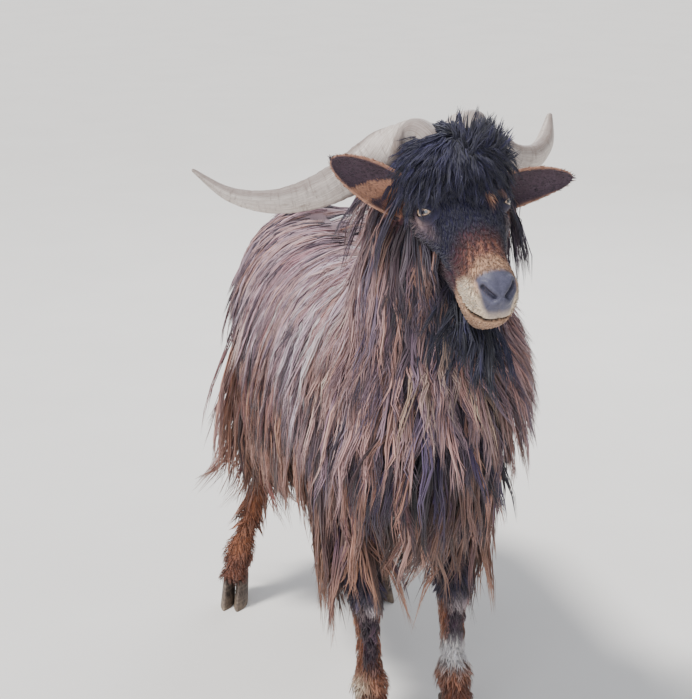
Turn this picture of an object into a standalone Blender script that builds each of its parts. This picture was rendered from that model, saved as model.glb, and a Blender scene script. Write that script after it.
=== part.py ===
# Carpathian goat, a standing long-haired buck, life size.
# Metres, +Z up. The goat faces -Y and its left side is +X. The floor is z = 0.
import math
import random

import bmesh
import bpy
from mathutils import Matrix, Vector
from mathutils.bvhtree import BVHTree

# Driving sizes
JOIN_GAP = 0.0004          # gap kept between nodes that meet
FLOOR_CLEAR = 0.004        # least height of any hair tip
SEED = 41
PUSH_ROUNDS = 3            # how often a lock's point is moved clear of the bodies
EASE_ROUNDS = 24           # how often a folding lock is eased before it is left out

# Torso core, from chest to rump: y, top, bottom, half width
TORSO = [
    (-0.140, 0.545, 0.490, 0.026),
    (-0.118, 0.585, 0.440, 0.068),
    (-0.070, 0.640, 0.395, 0.105),
    (0.010, 0.705, 0.360, 0.132),
    (0.120, 0.722, 0.342, 0.146),
    (0.260, 0.702, 0.335, 0.155),
    (0.400, 0.700, 0.345, 0.153),
    (0.520, 0.706, 0.385, 0.140),
    (0.605, 0.680, 0.450, 0.112),
    (0.650, 0.620, 0.520, 0.058),
]
TORSO_SIDES = 20
TORSO_RINGS = 14
AXIS_HEIGHT = 0.52         # the line that the torso's hair is parted round

# Neck core: x, y, z of the centre line, half width, half depth
NECK = [
    (0.000, 0.035, 0.560, 0.092, 0.105),
    (0.000, -0.015, 0.660, 0.085, 0.100),
    (-0.004, -0.055, 0.750, 0.074, 0.086),
    (-0.010, -0.078, 0.830, 0.064, 0.070),
    (-0.012, -0.088, 0.880, 0.052, 0.050),
]
NECK_SIDES = 14
NECK_RINGS = 8

# Head: poll point, turns, and sections along the face:
# forward, top, bottom, half width, squareness
POLL = Vector((0.011, -0.103, 0.916))
HEAD_TURN = math.radians(5.0)       # the face is turned to the goat's left
HEAD_DROP = math.radians(35.0)       # the face line slopes down
HEAD_ROLL = math.radians(4.0)        # the crown leans to the goat's right
HEAD = [
    (-0.040, -0.028, -0.076, 0.026, 2.0),
    (-0.024, -0.008, -0.108, 0.048, 2.1),
    (0.015, 0.004, -0.126, 0.062, 2.3),
    (0.060, 0.011, -0.128, 0.067, 2.5),
    (0.100, 0.008, -0.122, 0.061, 2.4),
    (0.138, -0.003, -0.114, 0.049, 2.2),
    (0.175, -0.009, -0.110, 0.0380, 2.2),
    (0.205, -0.010, -0.110, 0.0360, 2.3),
    (0.228, -0.013, -0.105, 0.0325, 2.3),
    (0.243, -0.028, -0.086, 0.020, 2.1),
]
HEAD_SIDES = 16
HEAD_RINGS = 15

EYE_PLACE = (0.0500, 0.092, -0.021)  # out to the side, forward, up
EYE_RADIUS = 0.0135
EYE_FACING = Vector((0.90, 0.40, 0.12)).normalized()
ORBIT_RADIUS = 0.0180
LID_OPENING = (0.0118, 0.0066)       # half width and half height between the lids

NOSTRIL_PLACE = (0.0145, 0.2350, -0.0300)
MOUTH_CORNER = 0.168                 # forward place of the corners of the mouth
MOUTH_HEIGHT = -0.064
MOUTH_WIDE = 0.0016                  # height of the line between the lips
MOUTH_DEEP = 0.005

# Ears: length, greatest width, wall; root place and direction (side, forward, up)
EAR_LENGTH = 0.140
EAR_WIDTH = 0.058
EAR_WALL = 0.0040
EAR_ROWS = 8
EAR_COLUMNS = 6
EAR_ROOT = (0.0480, 0.030, -0.066)
EAR_AIM = {"left": Vector((0.92, 0.05, 0.01)), "right": Vector((0.82, 0.16, 0.57))}

# Horn centre line, seen level with the turned head: out to the side, back, up
HORN = [
    (0.029, -0.008, -0.030),
    (0.027, 0.000, 0.004),
    (0.036, 0.020, 0.016),
    (0.062, 0.043, 0.001),
    (0.101, 0.064, -0.030),
    (0.145, 0.080, -0.053),
    (0.191, 0.096, -0.060),
    (0.233, 0.116, -0.046),
    (0.264, 0.141, -0.013),
]
# Horn sections at the same stations: broad half size, thin half size, twist in degrees,
# and how far both horns sway to the goat's right
HORN_SECTION = [
    (0.036, 0.021, 0.0, 0.000),
    (0.035, 0.022, 8.0, 0.000),
    (0.032, 0.021, 45.0, 0.000),
    (0.030, 0.018, 95.0, 0.002),
    (0.0285, 0.0165, 140.0, 0.006),
    (0.0255, 0.0150, 165.0, 0.014),
    (0.0200, 0.0120, 178.0, 0.024),
    (0.0125, 0.0085, 185.0, 0.034),
    (0.0035, 0.0026, 190.0, 0.042),
]
HORN_ROLL = math.radians(5.0)
HORN_SIDES = 10
HORN_RINGS = 17

# Legs: x (outward), y, z, half width, half depth
FORELEG_UPPER = [
    (0.082, 0.055, 0.445, 0.040, 0.070),
    (0.082, 0.050, 0.385, 0.036, 0.055),
    (0.077, 0.030, 0.320, 0.027, 0.035),
    (0.070, 0.010, 0.268, 0.021, 0.024),
    (0.068, 0.003, 0.250, 0.019, 0.021),
]
FORELEG_LOWER = [
    (0.068, 0.003, 0.252, 0.0195, 0.0215),
    (0.067, -0.002, 0.232, 0.0225, 0.0245),
    (0.066, 0.001, 0.205, 0.0180, 0.0195),
    (0.065, 0.003, 0.160, 0.0150, 0.0165),
    (0.065, 0.003, 0.118, 0.0160, 0.0175),
    (0.065, 0.001, 0.093, 0.0220, 0.0245),
    (0.065, -0.008, 0.068, 0.0180, 0.0190),
    (0.065, -0.014, 0.049, 0.0225, 0.0245),
]
HINDLEG_UPPER = [
    (0.080, 0.500, 0.560, 0.045, 0.095),
    (0.098, 0.480, 0.460, 0.045, 0.085),
    (0.098, 0.505, 0.385, 0.036, 0.058),
    (0.086, 0.555, 0.315, 0.025, 0.034),
    (0.078, 0.585, 0.285, 0.020, 0.025),
]
HINDLEG_LOWER = [
    (0.077, 0.588, 0.282, 0.0200, 0.0250),
    (0.076, 0.596, 0.255, 0.0185, 0.0260),
    (0.084, 0.590, 0.215, 0.0150, 0.0190),
    (0.101, 0.580, 0.160, 0.0135, 0.0165),
    (0.115, 0.570, 0.115, 0.0150, 0.0175),
    (0.124, 0.562, 0.090, 0.0210, 0.0230),
    (0.132, 0.548, 0.066, 0.0175, 0.0185),
    (0.138, 0.540, 0.048, 0.0215, 0.0235),
]
LEG_SIDES = 8
# Each foot leans its leg a little further out or in, and stands at its own place
HOOF_OUT = {"fore_left": 0.075, "fore_right": 0.057, "hind_left": 0.094, "hind_right": 0.163}
HOOF_BACK = {"fore_left": -0.020, "fore_right": -0.020, "hind_left": 0.480, "hind_right": 0.520}
HOOF_TURN = {"fore_left": 4.0, "fore_right": -4.0, "hind_left": 8.0, "hind_right": -24.0}
HOOF_HIGH = 0.047
HOOF_LONG = 0.064
HOOF_WIDE = 0.0225         # one claw
HOOF_SIDES = 8

# Tail: y, z of the centre line, half width, half depth
TAIL = [
    (0.615, 0.655, 0.026, 0.022),
    (0.655, 0.668, 0.024, 0.017),
    (0.695, 0.668, 0.020, 0.013),
    (0.735, 0.655, 0.014, 0.009),
    (0.760, 0.640, 0.006, 0.005),
]

# Hair. A row of locks: how many, length, width at the middle
LOCK_STEPS = (0.0, 0.18, 0.42, 0.66, 0.86)
LOCK_SHAPE = (0.62, 0.86, 1.0, 0.86, 0.50)
LOCK_TIP = 1.0
LOCK_RISE = 0.006
LOCK_THICK = 0.0075
LOCK_SINK = 0.010
UP = Vector((0, 0, 1))
DOWN = -UP
SIGHT = Vector((0.31, 0.87, 0.38)).normalized()

# Torso rows: angle from the top, locks from shoulder to hip, length, width, lift at the tip
COAT_ROWS = [
    (124.0, 5, 0.150, 0.066, 0.020),
    (94.0, 6, 0.225, 0.076, 0.034),
    (64.0, 6, 0.230, 0.078, 0.026),
    (36.0, 6, 0.210, 0.078, 0.022),
    (12.0, 3, 0.160, 0.084, 0.014),
]
# Locks that lie backward along the spine: count, length, width, lift
SPINE_ROW = (4, 0.180, 0.096, 0.010)
COAT_START = -0.030
COAT_END = 0.590
# Rump rows: height, locks across, length, width, lift
RUMP_ROWS = [
    (0.470, 4, 0.180, 0.056, 0.024),
    (0.550, 4, 0.220, 0.064, 0.044),
    (0.640, 3, 0.240, 0.068, 0.040),
]
# Chest rows: height, locks across, length, width, lift
CHEST_ROWS = [
    (0.400, 3, 0.140, 0.052, 0.010),
    (0.460, 4, 0.170, 0.058, 0.020),
    (0.530, 4, 0.180, 0.060, 0.026),
    (0.600, 4, 0.170, 0.060, 0.026),
]
# Neck rows: share of the way up, locks round the neck, length, width, lift
MANE_ROWS = [
    (0.24, 6, 0.230, 0.062, 0.036),
    (0.44, 6, 0.220, 0.058, 0.034),
    (0.62, 6, 0.190, 0.054, 0.030),
    (0.80, 6, 0.160, 0.046, 0.022),
]
FORELOCK_LOCKS = 13
FORELOCK_LONG = 0.080
FORELOCK_WIDE = 0.035
BEARD_LOCKS = 8
BEARD_LONG = 0.165
BEARD_WIDE = 0.034
CHEEK_LOCKS = 3
CHEEK_LONG = 0.130
# Leg rows: height, locks round the leg, length, width
FORELEG_ROWS = [
    (0.290, 5, 0.060, 0.026),
    (0.335, 4, 0.085, 0.032),
]
THIGH_ROWS = [
    (0.345, 4, 0.070, 0.036),
    (0.400, 3, 0.100, 0.044),
]
TAIL_LOCKS = 7
TAIL_LONG = 0.070

COLORS = {
    "coat": (0.110, 0.055, 0.040),
    "head": (0.045, 0.032, 0.030),
    "forelock": (0.018, 0.016, 0.020),
    "beard": (0.030, 0.022, 0.022),
    "horn": (0.330, 0.285, 0.235),
    "ear": (0.075, 0.045, 0.032),
    "eye": (0.560, 0.420, 0.220),
    "leg": (0.250, 0.110, 0.050),
    "hoof": (0.090, 0.075, 0.065),
}
SIDES = {"left": 1.0, "right": -1.0}


def spline(stations, count):
    """Points on a smooth curve through the stations, evenly spread over them."""
    last = len(stations) - 1
    result = []
    for k in range(count):
        place = last * k / (count - 1)
        i = min(int(place), last - 1)
        t = place - i
        before, start = stations[max(i - 1, 0)], stations[i]
        end, after = stations[i + 1], stations[min(i + 2, last)]
        row = []
        for p0, p1, p2, p3 in zip(before, start, end, after):
            slope_in = (p2 - p0) / 2.0
            slope_out = (p3 - p1) / 2.0
            row.append(
                (2 * t**3 - 3 * t**2 + 1) * p1 + (t**3 - 2 * t**2 + t) * slope_in
                + (3 * t**2 - 2 * t**3) * p2 + (t**3 - t**2) * slope_out
            )
        result.append(tuple(row))
    return result


def oval(center, across, upward, wide, rise, drop, sides, power=2.0):
    """A closed ring round center: wide to each side, rise above it and drop below it."""
    ring = []
    for k in range(sides):
        angle = 2.0 * math.pi * (k + 0.5) / sides
        c, s = math.cos(angle), math.sin(angle)
        x = math.copysign(abs(c) ** (2.0 / power), c) * wide
        y = math.copysign(abs(s) ** (2.0 / power), s) * (rise if s > 0 else drop)
        ring.append(center + across * x + upward * y)
    return ring


def outward(points, faces):
    """The faces turned so that they look out of the solid."""
    volume = 0.0
    for face in faces:
        for k in range(1, len(face) - 1):
            volume += points[face[0]].dot(points[face[k]].cross(points[face[k + 1]]))
    return faces if volume > 0 else [tuple(reversed(face)) for face in faces]


def loft(rings, grow=0.0, tip=None):
    """Points and faces of a closed solid through rings of one size, ended by caps or a tip."""
    size = len(rings[0])
    for end, inner in ((0, 1), (-1, -2)):
        push = (rings[end][0] - rings[inner][0]).normalized() * grow
        rings[end] = [p + push for p in rings[end]]
    points = [p for ring in rings for p in ring]
    faces = [tuple(range(size - 1, -1, -1))]
    for r in range(len(rings) - 1):
        middle = sum(rings[r] + rings[r + 1], Vector()) / (2 * size)
        for k in range(size):
            n = (k + 1) % size
            a, b, c, d = r * size + k, r * size + n, (r + 1) * size + n, (r + 1) * size + k
            bulge = points[a] + points[c] - points[b] - points[d]
            if bulge.dot(points[a] + points[c] + points[b] + points[d] - middle * 4) >= 0:
                faces += [(a, b, c), (a, c, d)]
            else:
                faces += [(a, b, d), (b, c, d)]
    base = (len(rings) - 1) * size
    if tip is None:
        faces.append(tuple(range(base, base + size)))
    else:
        points.append(tip)
        faces += [(base + k, base + (k + 1) % size, len(points) - 1) for k in range(size)]
    return points, outward(points, faces)


def mesh_object(name, points, faces):
    """An object with the given faces, all turned outward."""
    mesh = bpy.data.meshes.new(name)
    mesh.from_pydata([tuple(p) for p in points], [], faces)
    edit = bmesh.new()
    edit.from_mesh(mesh)
    bmesh.ops.recalc_face_normals(edit, faces=edit.faces)
    edit.to_mesh(mesh)
    edit.free()
    return bpy.data.objects.new(name, mesh)


def apply_modifiers(obj):
    """Replace the object's mesh by its evaluated mesh."""
    graph = bpy.context.evaluated_depsgraph_get()
    graph.update()
    mesh = bpy.data.meshes.new_from_object(obj.evaluated_get(graph))
    obj.modifiers.clear()
    obj.data = mesh


def keep_largest(obj):
    """Keep only the largest closed surface of the object."""
    edit = bmesh.new()
    edit.from_mesh(obj.data)
    bmesh.ops.remove_doubles(edit, verts=edit.verts, dist=0.000002)
    left = set(edit.faces)
    shells = []
    while left:
        start = left.pop()
        shell, front = {start}, [start]
        while front:
            for edge in front.pop().edges:
                for face in edge.link_faces:
                    if face in left:
                        left.remove(face)
                        shell.add(face)
                        front.append(face)
        shells.append(shell)
    shells.sort(key=lambda s: abs(sum(f.calc_area() for f in s)))
    for shell in shells[:-1]:
        bmesh.ops.delete(edit, geom=list(shell), context="FACES")
    edit.to_mesh(obj.data)
    edit.free()
    return len(shells) - 1


def combine(obj, pieces, operation):
    """Join closed pieces to the object, or cut them from it, then remove them."""
    if not pieces:
        return obj
    tools = bpy.data.collections.new("tools")
    bpy.context.scene.collection.children.link(tools)
    for points, faces in pieces:
        tools.objects.link(mesh_object("tool", points, faces))
    change = obj.modifiers.new("combine", "BOOLEAN")
    change.operation = operation
    change.operand_type = "COLLECTION"
    change.collection = tools
    change.solver = "MANIFOLD"
    apply_modifiers(obj)
    for tool in list(tools.objects):
        bpy.data.objects.remove(tool)
    bpy.data.collections.remove(tools)
    return obj


def solid_pieces(pieces):
    """One closed object made of the pieces, the first of them as its core."""
    core = mesh_object("core", *pieces[0])
    goat.objects.link(core)
    combine(core, pieces[1:], "UNION")
    keep_largest(core)
    return core


def ball(center, radius, stretch=(1.0, 1.0, 1.0), turn=None, cuts=12):
    """Points and faces of an oval ball."""
    edit = bmesh.new()
    bmesh.ops.create_uvsphere(edit, u_segments=cuts, v_segments=cuts // 2 + 1, radius=radius)
    frame = Matrix.Translation(center) @ (turn or Matrix()).to_4x4() @ Matrix.Diagonal((*stretch, 1))
    edit.transform(frame)
    points = [v.co.copy() for v in edit.verts]
    faces = [tuple(v.index for v in f.verts) for f in edit.faces]
    edit.free()
    return points, outward(points, faces)


# Frames of the head
def head_axes(drop, roll):
    """The head's side, forward and up directions."""
    turn = Matrix.Rotation(HEAD_TURN, 3, "Z")
    pitch = Matrix.Rotation(drop, 3, "X")
    lean = Matrix.Rotation(-roll, 3, "Y")
    frame = turn @ pitch @ lean
    return frame @ Vector((1, 0, 0)), frame @ Vector((0, -1, 0)), frame @ Vector((0, 0, 1))


HEAD_SIDE, HEAD_FORWARD, HEAD_UP = head_axes(HEAD_DROP, HEAD_ROLL)
LEVEL_SIDE, LEVEL_FORWARD, LEVEL_UP = head_axes(0.0, HORN_ROLL)


def on_head(side, forward, up):
    """World place of a point given along the head's own directions."""
    return POLL + HEAD_SIDE * side + HEAD_FORWARD * forward + HEAD_UP * up


def head_direction(vector):
    return (HEAD_SIDE * vector.x + HEAD_FORWARD * vector.y + HEAD_UP * vector.z).normalized()


def level_direction(side, forward, up):
    """A direction seen level with the turned head."""
    return (LEVEL_SIDE * side + LEVEL_FORWARD * forward + LEVEL_UP * up).normalized()


# Cores
def torso_core(grow):
    rings = []
    for y, top, bottom, wide in spline(TORSO, TORSO_RINGS):
        middle = bottom + (top - bottom) * 0.50
        rings.append(oval(
            Vector((0, y, middle)), Vector((1, 0, 0)), Vector((0, 0, 1)),
            wide + grow, top - middle + grow, middle - bottom + grow, TORSO_SIDES, 2.25,
        ))
    return loft(rings, grow)


def limb(stations, side, count, sides, grow, shift=Vector((0, 0, 0))):
    """A limb's rings across its centre line."""
    rows = spline(stations, count)
    rings = []
    for i, (x, y, z, wide, deep) in enumerate(rows):
        center = Vector((x * side, y, z)) + shift * (i / (count - 1))
        near = rows[max(i - 1, 0)]
        far = rows[min(i + 1, count - 1)]
        along = Vector(((far[0] - near[0]) * side, far[1] - near[1], far[2] - near[2])).normalized()
        front = (Vector((0, 1, 0)) - along * along.y).normalized()
        across = along.cross(front).normalized()
        rings.append(oval(center, across, front, wide + grow, deep + grow, deep + grow, sides))
    return loft(rings, grow)


def neck_core(grow):
    return limb(NECK, 1.0, NECK_RINGS, NECK_SIDES, grow)


def head_core(grow):
    rings = []
    for forward, top, bottom, wide, square in spline(HEAD, HEAD_RINGS):
        middle = (top + bottom) / 2.0
        rings.append(oval(
            on_head(0, forward, middle), HEAD_SIDE, HEAD_UP,
            wide + grow, top - middle + grow, middle - bottom + grow, HEAD_SIDES, square,
        ))
    return loft(rings, grow)


def foot_shift(foot, stations):
    """How far the lower leg's end moves from its drawn place to reach its hoof."""
    side = SIDES[foot.split("_")[1]]
    end = stations[-1]
    return Vector(((HOOF_OUT[foot] - end[0]) * side, HOOF_BACK[foot] + 0.006 - end[1], 0.0))


def leg_upper(foot, grow):
    side = SIDES[foot.split("_")[1]]
    stations = FORELEG_UPPER if foot.startswith("fore") else HINDLEG_UPPER
    return limb(stations, side, 6, LEG_SIDES, grow)


def leg_lower(foot, grow):
    side = SIDES[foot.split("_")[1]]
    stations = FORELEG_LOWER if foot.startswith("fore") else HINDLEG_LOWER
    return limb(stations, side, 9, LEG_SIDES, grow, foot_shift(foot, stations))


def claw(foot, which, grow):
    """One claw of a hoof: a flat sole, a sloped toe and a rounded heel."""
    side = SIDES[foot.split("_")[1]]
    turn = Matrix.Rotation(math.radians(HOOF_TURN[foot]), 3, "Z")
    middle = Vector((HOOF_OUT[foot] * side, HOOF_BACK[foot], 0))
    offset = which * (HOOF_WIDE / 2 + 0.0006)
    rings = []
    levels = 3
    for level in range(levels):
        t = level / (levels - 1)
        height = HOOF_HIGH * t
        size = 1.0 - 0.16 * t
        slope = 0.020 * t
        ring = []
        for k in range(HOOF_SIDES):
            angle = 2 * math.pi * k / HOOF_SIDES
            x = math.cos(angle)
            y = math.sin(angle)
            squeeze = 1.0 - 0.42 * max(-y, 0.0) ** 2
            lateral = offset + x * (HOOF_WIDE / 2 + grow) * size * squeeze
            if lateral * which < 0.0006 - grow:
                lateral = (0.0006 - grow) * which
            along = y * (HOOF_LONG / 2 * size + grow) + slope
            ring.append(middle + turn @ Vector((lateral, along, height + grow * (2 * t - 1))))
        rings.append(ring)
    return loft(rings)


def tail_core(grow):
    stations = [(0.0, y, z, wide, deep) for y, z, wide, deep in TAIL]
    rows = spline(stations, 6)
    rings = []
    for i, (x, y, z, wide, deep) in enumerate(rows):
        near, far = rows[max(i - 1, 0)], rows[min(i + 1, 5)]
        along = Vector((0, far[1] - near[1], far[2] - near[2])).normalized()
        across = Vector((1, 0, 0))
        rings.append(oval(
            Vector((x, y, z)), across, along.cross(across),
            wide + grow, deep + grow, deep + grow, 8,
        ))
    return loft(rings, grow)


def horn_core(side, grow):
    """A flattened, twisted horn that rises, then sweeps out and back."""
    stations = [place + section for place, section in zip(HORN, HORN_SECTION)]
    rows = spline(stations, HORN_RINGS)

    def world(row):
        out, back, up = row[:3]
        place = LEVEL_SIDE * (out * side - row[6]) - LEVEL_FORWARD * back + LEVEL_UP * up
        return POLL + place

    reference = (LEVEL_FORWARD * 0.6 + LEVEL_UP * 0.8).normalized()
    rings = []
    for i, row in enumerate(rows):
        near, far = rows[max(i - 1, 0)], rows[min(i + 1, HORN_RINGS - 1)]
        along = (world(far) - world(near)).normalized()
        broad = (reference - along * along.dot(reference)).normalized()
        thin = along.cross(broad) * side
        twist = math.radians(row[5])
        ring_broad = broad * math.cos(twist) + thin * math.sin(twist)
        ring_thin = thin * math.cos(twist) - broad * math.sin(twist)
        ridge = 1.0 + 0.02 * (i % 2) * max(0.0, 1.0 - i / 10)
        rings.append(oval(
            world(row), ring_thin, ring_broad,
            row[4] * ridge + grow, row[3] * 1.08 * ridge + grow, row[3] * 0.92 * ridge + grow,
            HORN_SIDES, 1.9,
        ))
    return loft(rings, grow)


def shell(grid, wall, grow):
    """A curved sheet with a wall, its two faces split into triangles alike."""
    rows, columns = len(grid), len(grid[0])
    outer, inner = [], []
    for i in range(rows):
        for k in range(columns):
            along = grid[min(i + 1, rows - 1)][k] - grid[max(i - 1, 0)][k]
            across = grid[i][min(k + 1, columns - 1)] - grid[i][max(k - 1, 0)]
            normal = along.cross(across).normalized()
            half = wall * (1.0 - 0.4 * i / (rows - 1)) / 2 + grow
            edge = across.normalized() * grow * ((k == columns - 1) - (k == 0))
            edge += along.normalized() * grow * ((i == rows - 1) - (i == 0))
            outer.append(grid[i][k] + normal * half + edge)
            inner.append(grid[i][k] - normal * half + edge)
    step = rows * columns
    faces = []
    for i in range(rows - 1):
        for k in range(columns - 1):
            a = i * columns + k
            b, c, d = a + 1, a + columns + 1, a + columns
            faces += [(a, b, c), (a, c, d), (step + c, step + b, step + a)]
            faces.append((step + d, step + c, step + a))
    border = [k for k in range(columns)]
    border += [i * columns + columns - 1 for i in range(1, rows)]
    border += [(rows - 1) * columns + k for k in range(columns - 2, -1, -1)]
    border += [i * columns for i in range(rows - 2, 0, -1)]
    for i, a in enumerate(border):
        b = border[(i + 1) % len(border)]
        faces += [(b, a, step + a), (b, step + a, step + b)]
    return outer + inner, outward(outer + inner, faces)


def ear_shell(side_name, grow):
    """An ear as a leaf with its inner face hollowed into a cup."""
    side = SIDES[side_name]
    aim = EAR_AIM[side_name]
    aim = level_direction(aim.x * side, aim.y, aim.z)
    root = on_head(EAR_ROOT[0] * side, EAR_ROOT[1], EAR_ROOT[2])
    opening = level_direction(0.0, 1.0, -0.25)
    opening = (opening - aim * opening.dot(aim)).normalized()
    across = aim.cross(opening).normalized()
    grid = []
    for i in range(EAR_ROWS):
        t = i / (EAR_ROWS - 1)
        leaf = math.sin(math.pi * (0.16 + 0.84 * t) ** 0.80) ** 0.75 if t < 1.0 else 0.12
        half = EAR_WIDTH / 2 * max(leaf, 0.12)
        bend = math.radians(140.0 * (1.0 - t) ** 0.8 + 40.0)
        center = root + aim * (EAR_LENGTH * t) - opening * (0.010 * math.sin(math.pi * t))
        row = []
        for k in range(EAR_COLUMNS):
            u = -1.0 + 2.0 * k / (EAR_COLUMNS - 1)
            angle = u * bend / 2
            radius = half / math.sin(min(bend / 2, math.pi / 2))
            rise = radius * (1 - math.cos(angle))
            row.append(center + across * (radius * math.sin(angle)) + opening * rise)
        grid.append(row)
    return shell(grid, EAR_WALL, grow)


def height_over(body, point):
    """How far the point lies above a closed surface, below as negative, and the way outward."""
    near, normal, _, gap = body.find_nearest(point)
    crossings = 0
    hit = body.ray_cast(point, SIGHT)[0]
    while hit is not None:
        crossings += 1
        hit = body.ray_cast(hit + SIGHT * 0.00001, SIGHT)[0]
    if crossings % 2 == 1:
        return -gap, normal
    return gap, (point - near) / gap if gap > 0.002 else normal


class Drape:
    """Roots locks on one core and lays them over all that they may meet."""

    def __init__(self, own, others=()):
        self.own = BVHTree.FromPolygons(*own)
        self.bodies = [self.own] + [BVHTree.FromPolygons(*body) for body in others]

    def root(self, origin, direction):
        """Where a ray from inside leaves the core, and the surface's normal there."""
        direction = direction.normalized()
        place, normal, _, _ = self.own.ray_cast(origin + direction * 0.6, -direction)
        if normal.dot(direction) < 0:
            normal = -normal
        return place, normal

    def push_out(self, point, lift):
        """The point moved out to at least lift above every body, and the outward direction."""
        for _ in range(PUSH_ROUNDS):
            lowest, away = math.inf, None
            for body in self.bodies:
                height, outward = height_over(body, point)
                if height < lift:
                    point = point + outward * (lift - height)
                if height < lowest:
                    lowest, away = height, outward
            if lowest >= lift:
                break
        return point, away

    def path(self, place, normal, lie, length, lift, hang):
        """A lock's centre line, from below the surface to its tip, and its outward directions.

        Nothing comes back where a body in the way would turn the lock far from its fall.
        """
        flow = (lie - normal * lie.dot(normal)).normalized()
        points = [place - normal * LOCK_SINK]
        away = [normal]
        before = 0.0
        point = place.copy()
        heading = (flow + normal * 0.25).normalized()
        for share in LOCK_STEPS[1:] + (LOCK_TIP,):
            target = (flow * (1.0 - hang * share) + DOWN * (hang * share)).normalized()
            heading = (heading * 0.5 + target).normalized()
            height = LOCK_RISE + (lift - LOCK_RISE) * share
            moved, outward = self.push_out(point + heading * (length * (share - before)), height)
            heading = (moved - point).normalized()
            if heading.dot(target) < 0.35:
                return None
            point = moved
            point.z = max(point.z, FLOOR_CLEAR)
            points.append(point.copy())
            away.append(outward)
            before = share
        return points, away


def lock_frames(points, away):
    """Across and outward directions along a lock, turning little from ring to ring."""
    frames = []
    steady = away[0]
    for i in range(len(points) - 1):
        along = (points[i + 1] - points[max(i - 1, 0)]).normalized()
        steady = steady - along * steady.dot(along)
        steady = (steady.normalized() + away[i] * 0.6).normalized()
        out = (steady - along * steady.dot(along)).normalized()
        frames.append((along.cross(out), out))
        steady = out
    return frames


def lock_rings(points, frames, width, thick, grow):
    rings = []
    for i, size in enumerate(LOCK_SHAPE):
        across, out = frames[i]
        half = width * size / 2
        deep = thick * (0.6 + 0.4 * size)
        swell = 1.0 + grow * math.hypot(half, deep) / (half * deep)
        half, deep = half * swell, deep * swell
        rings.append([
            points[i] + across * half - out * (deep * 0.4),
            points[i] + out * (deep * 0.6),
            points[i] - across * half - out * (deep * 0.4),
        ])
    return rings


def is_sound(points, frames, width, thick):
    """Whether the lock neither folds nor twists much, and lies wholly inside its grown copy."""
    rings = lock_rings(points, frames, width, thick, 0.0)
    for i in range(len(rings) - 1):
        along = (points[i + 1] - points[i]).normalized()
        step = (points[i + 1] - points[i]).length
        for start, end in zip(rings[i], rings[i + 1]):
            if (end - start).dot(along) < 0.25 * step:
                return False
        if frames[i][0].dot(frames[i + 1][0]) < 0.8:
            return False
    last = (points[-1] - points[-2]).normalized()
    if any((points[-1] - corner).dot(last) < 0.003 for corner in rings[-1]):
        return False
    solids = [lock(points, frames, width, thick, grow) for grow in (0.0, JOIN_GAP)]
    trees = [BVHTree.FromPolygons(*solid) for solid in solids]
    if trees[0].overlap(trees[1]):
        return False
    faces = solids[0][1]
    return all(set(faces[a]) & set(faces[b]) for a, b in trees[0].overlap(trees[0]))


def settle(points, away, width, thick):
    """Ease a lock's bends and twist, and at last its width, until it doesn't fold."""
    for _ in range(EASE_ROUNDS):
        frames = lock_frames(points, away)
        if is_sound(points, frames, width, thick):
            break
        before = [p.copy() for p in points]
        for i in range(2, len(points) - 1):
            points[i] = before[i] * 0.5 + (before[i - 1] + before[i + 1]) * 0.25
        points[-1] = points[-1] * 0.7 + (points[-2] * 2 - points[-3]) * 0.3
        away = [away[0]] + [
            (away[i] + away[i - 1]).normalized() for i in range(1, len(away))]
        width *= 0.96
    frames = lock_frames(points, away)
    return points, frames, width, is_sound(points, frames, width, thick)


def lock(points, frames, width, thick, grow):
    """A flat, tapered lock: three-sided sections along its centre line, ended by a tip."""
    tip = points[-1] + (points[-1] - points[-2]).normalized() * (grow * 8.0)
    return loft(lock_rings(points, frames, width, thick, grow), grow, tip)


def vary(draw, value, share=0.18):
    """The value made a little larger or smaller at random."""
    return value * (1.0 + draw.uniform(-share, share))


def comb(draw, drape, place, normal, lie, length, width, lift, hang=0.9):
    """One lock with its own random changes, kept as sizes so that it can be built grown.

    A lock that can't lie without folding is drawn again, and after some draws left out.
    """
    for attempt in range(8):
        wander = Vector((draw.uniform(-0.2, 0.2), draw.uniform(-0.2, 0.2), draw.uniform(-0.1, 0.1)))
        laid = drape.path(
            place, normal, lie + wander, vary(draw, length) * 0.95 ** attempt,
            vary(draw, lift, 0.35), hang,
        )
        if laid is None:
            continue
        thick = vary(draw, LOCK_THICK, 0.1)
        points, frames, wide, sound = settle(*laid, vary(draw, width, 0.15), thick)
        if sound:
            return [(points, frames, wide, thick)]
    return []


def locks(combed, grow):
    """The solids of a list of combed locks."""
    return [lock(points, frames, width, thick, grow) for points, frames, width, thick in combed]


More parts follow.
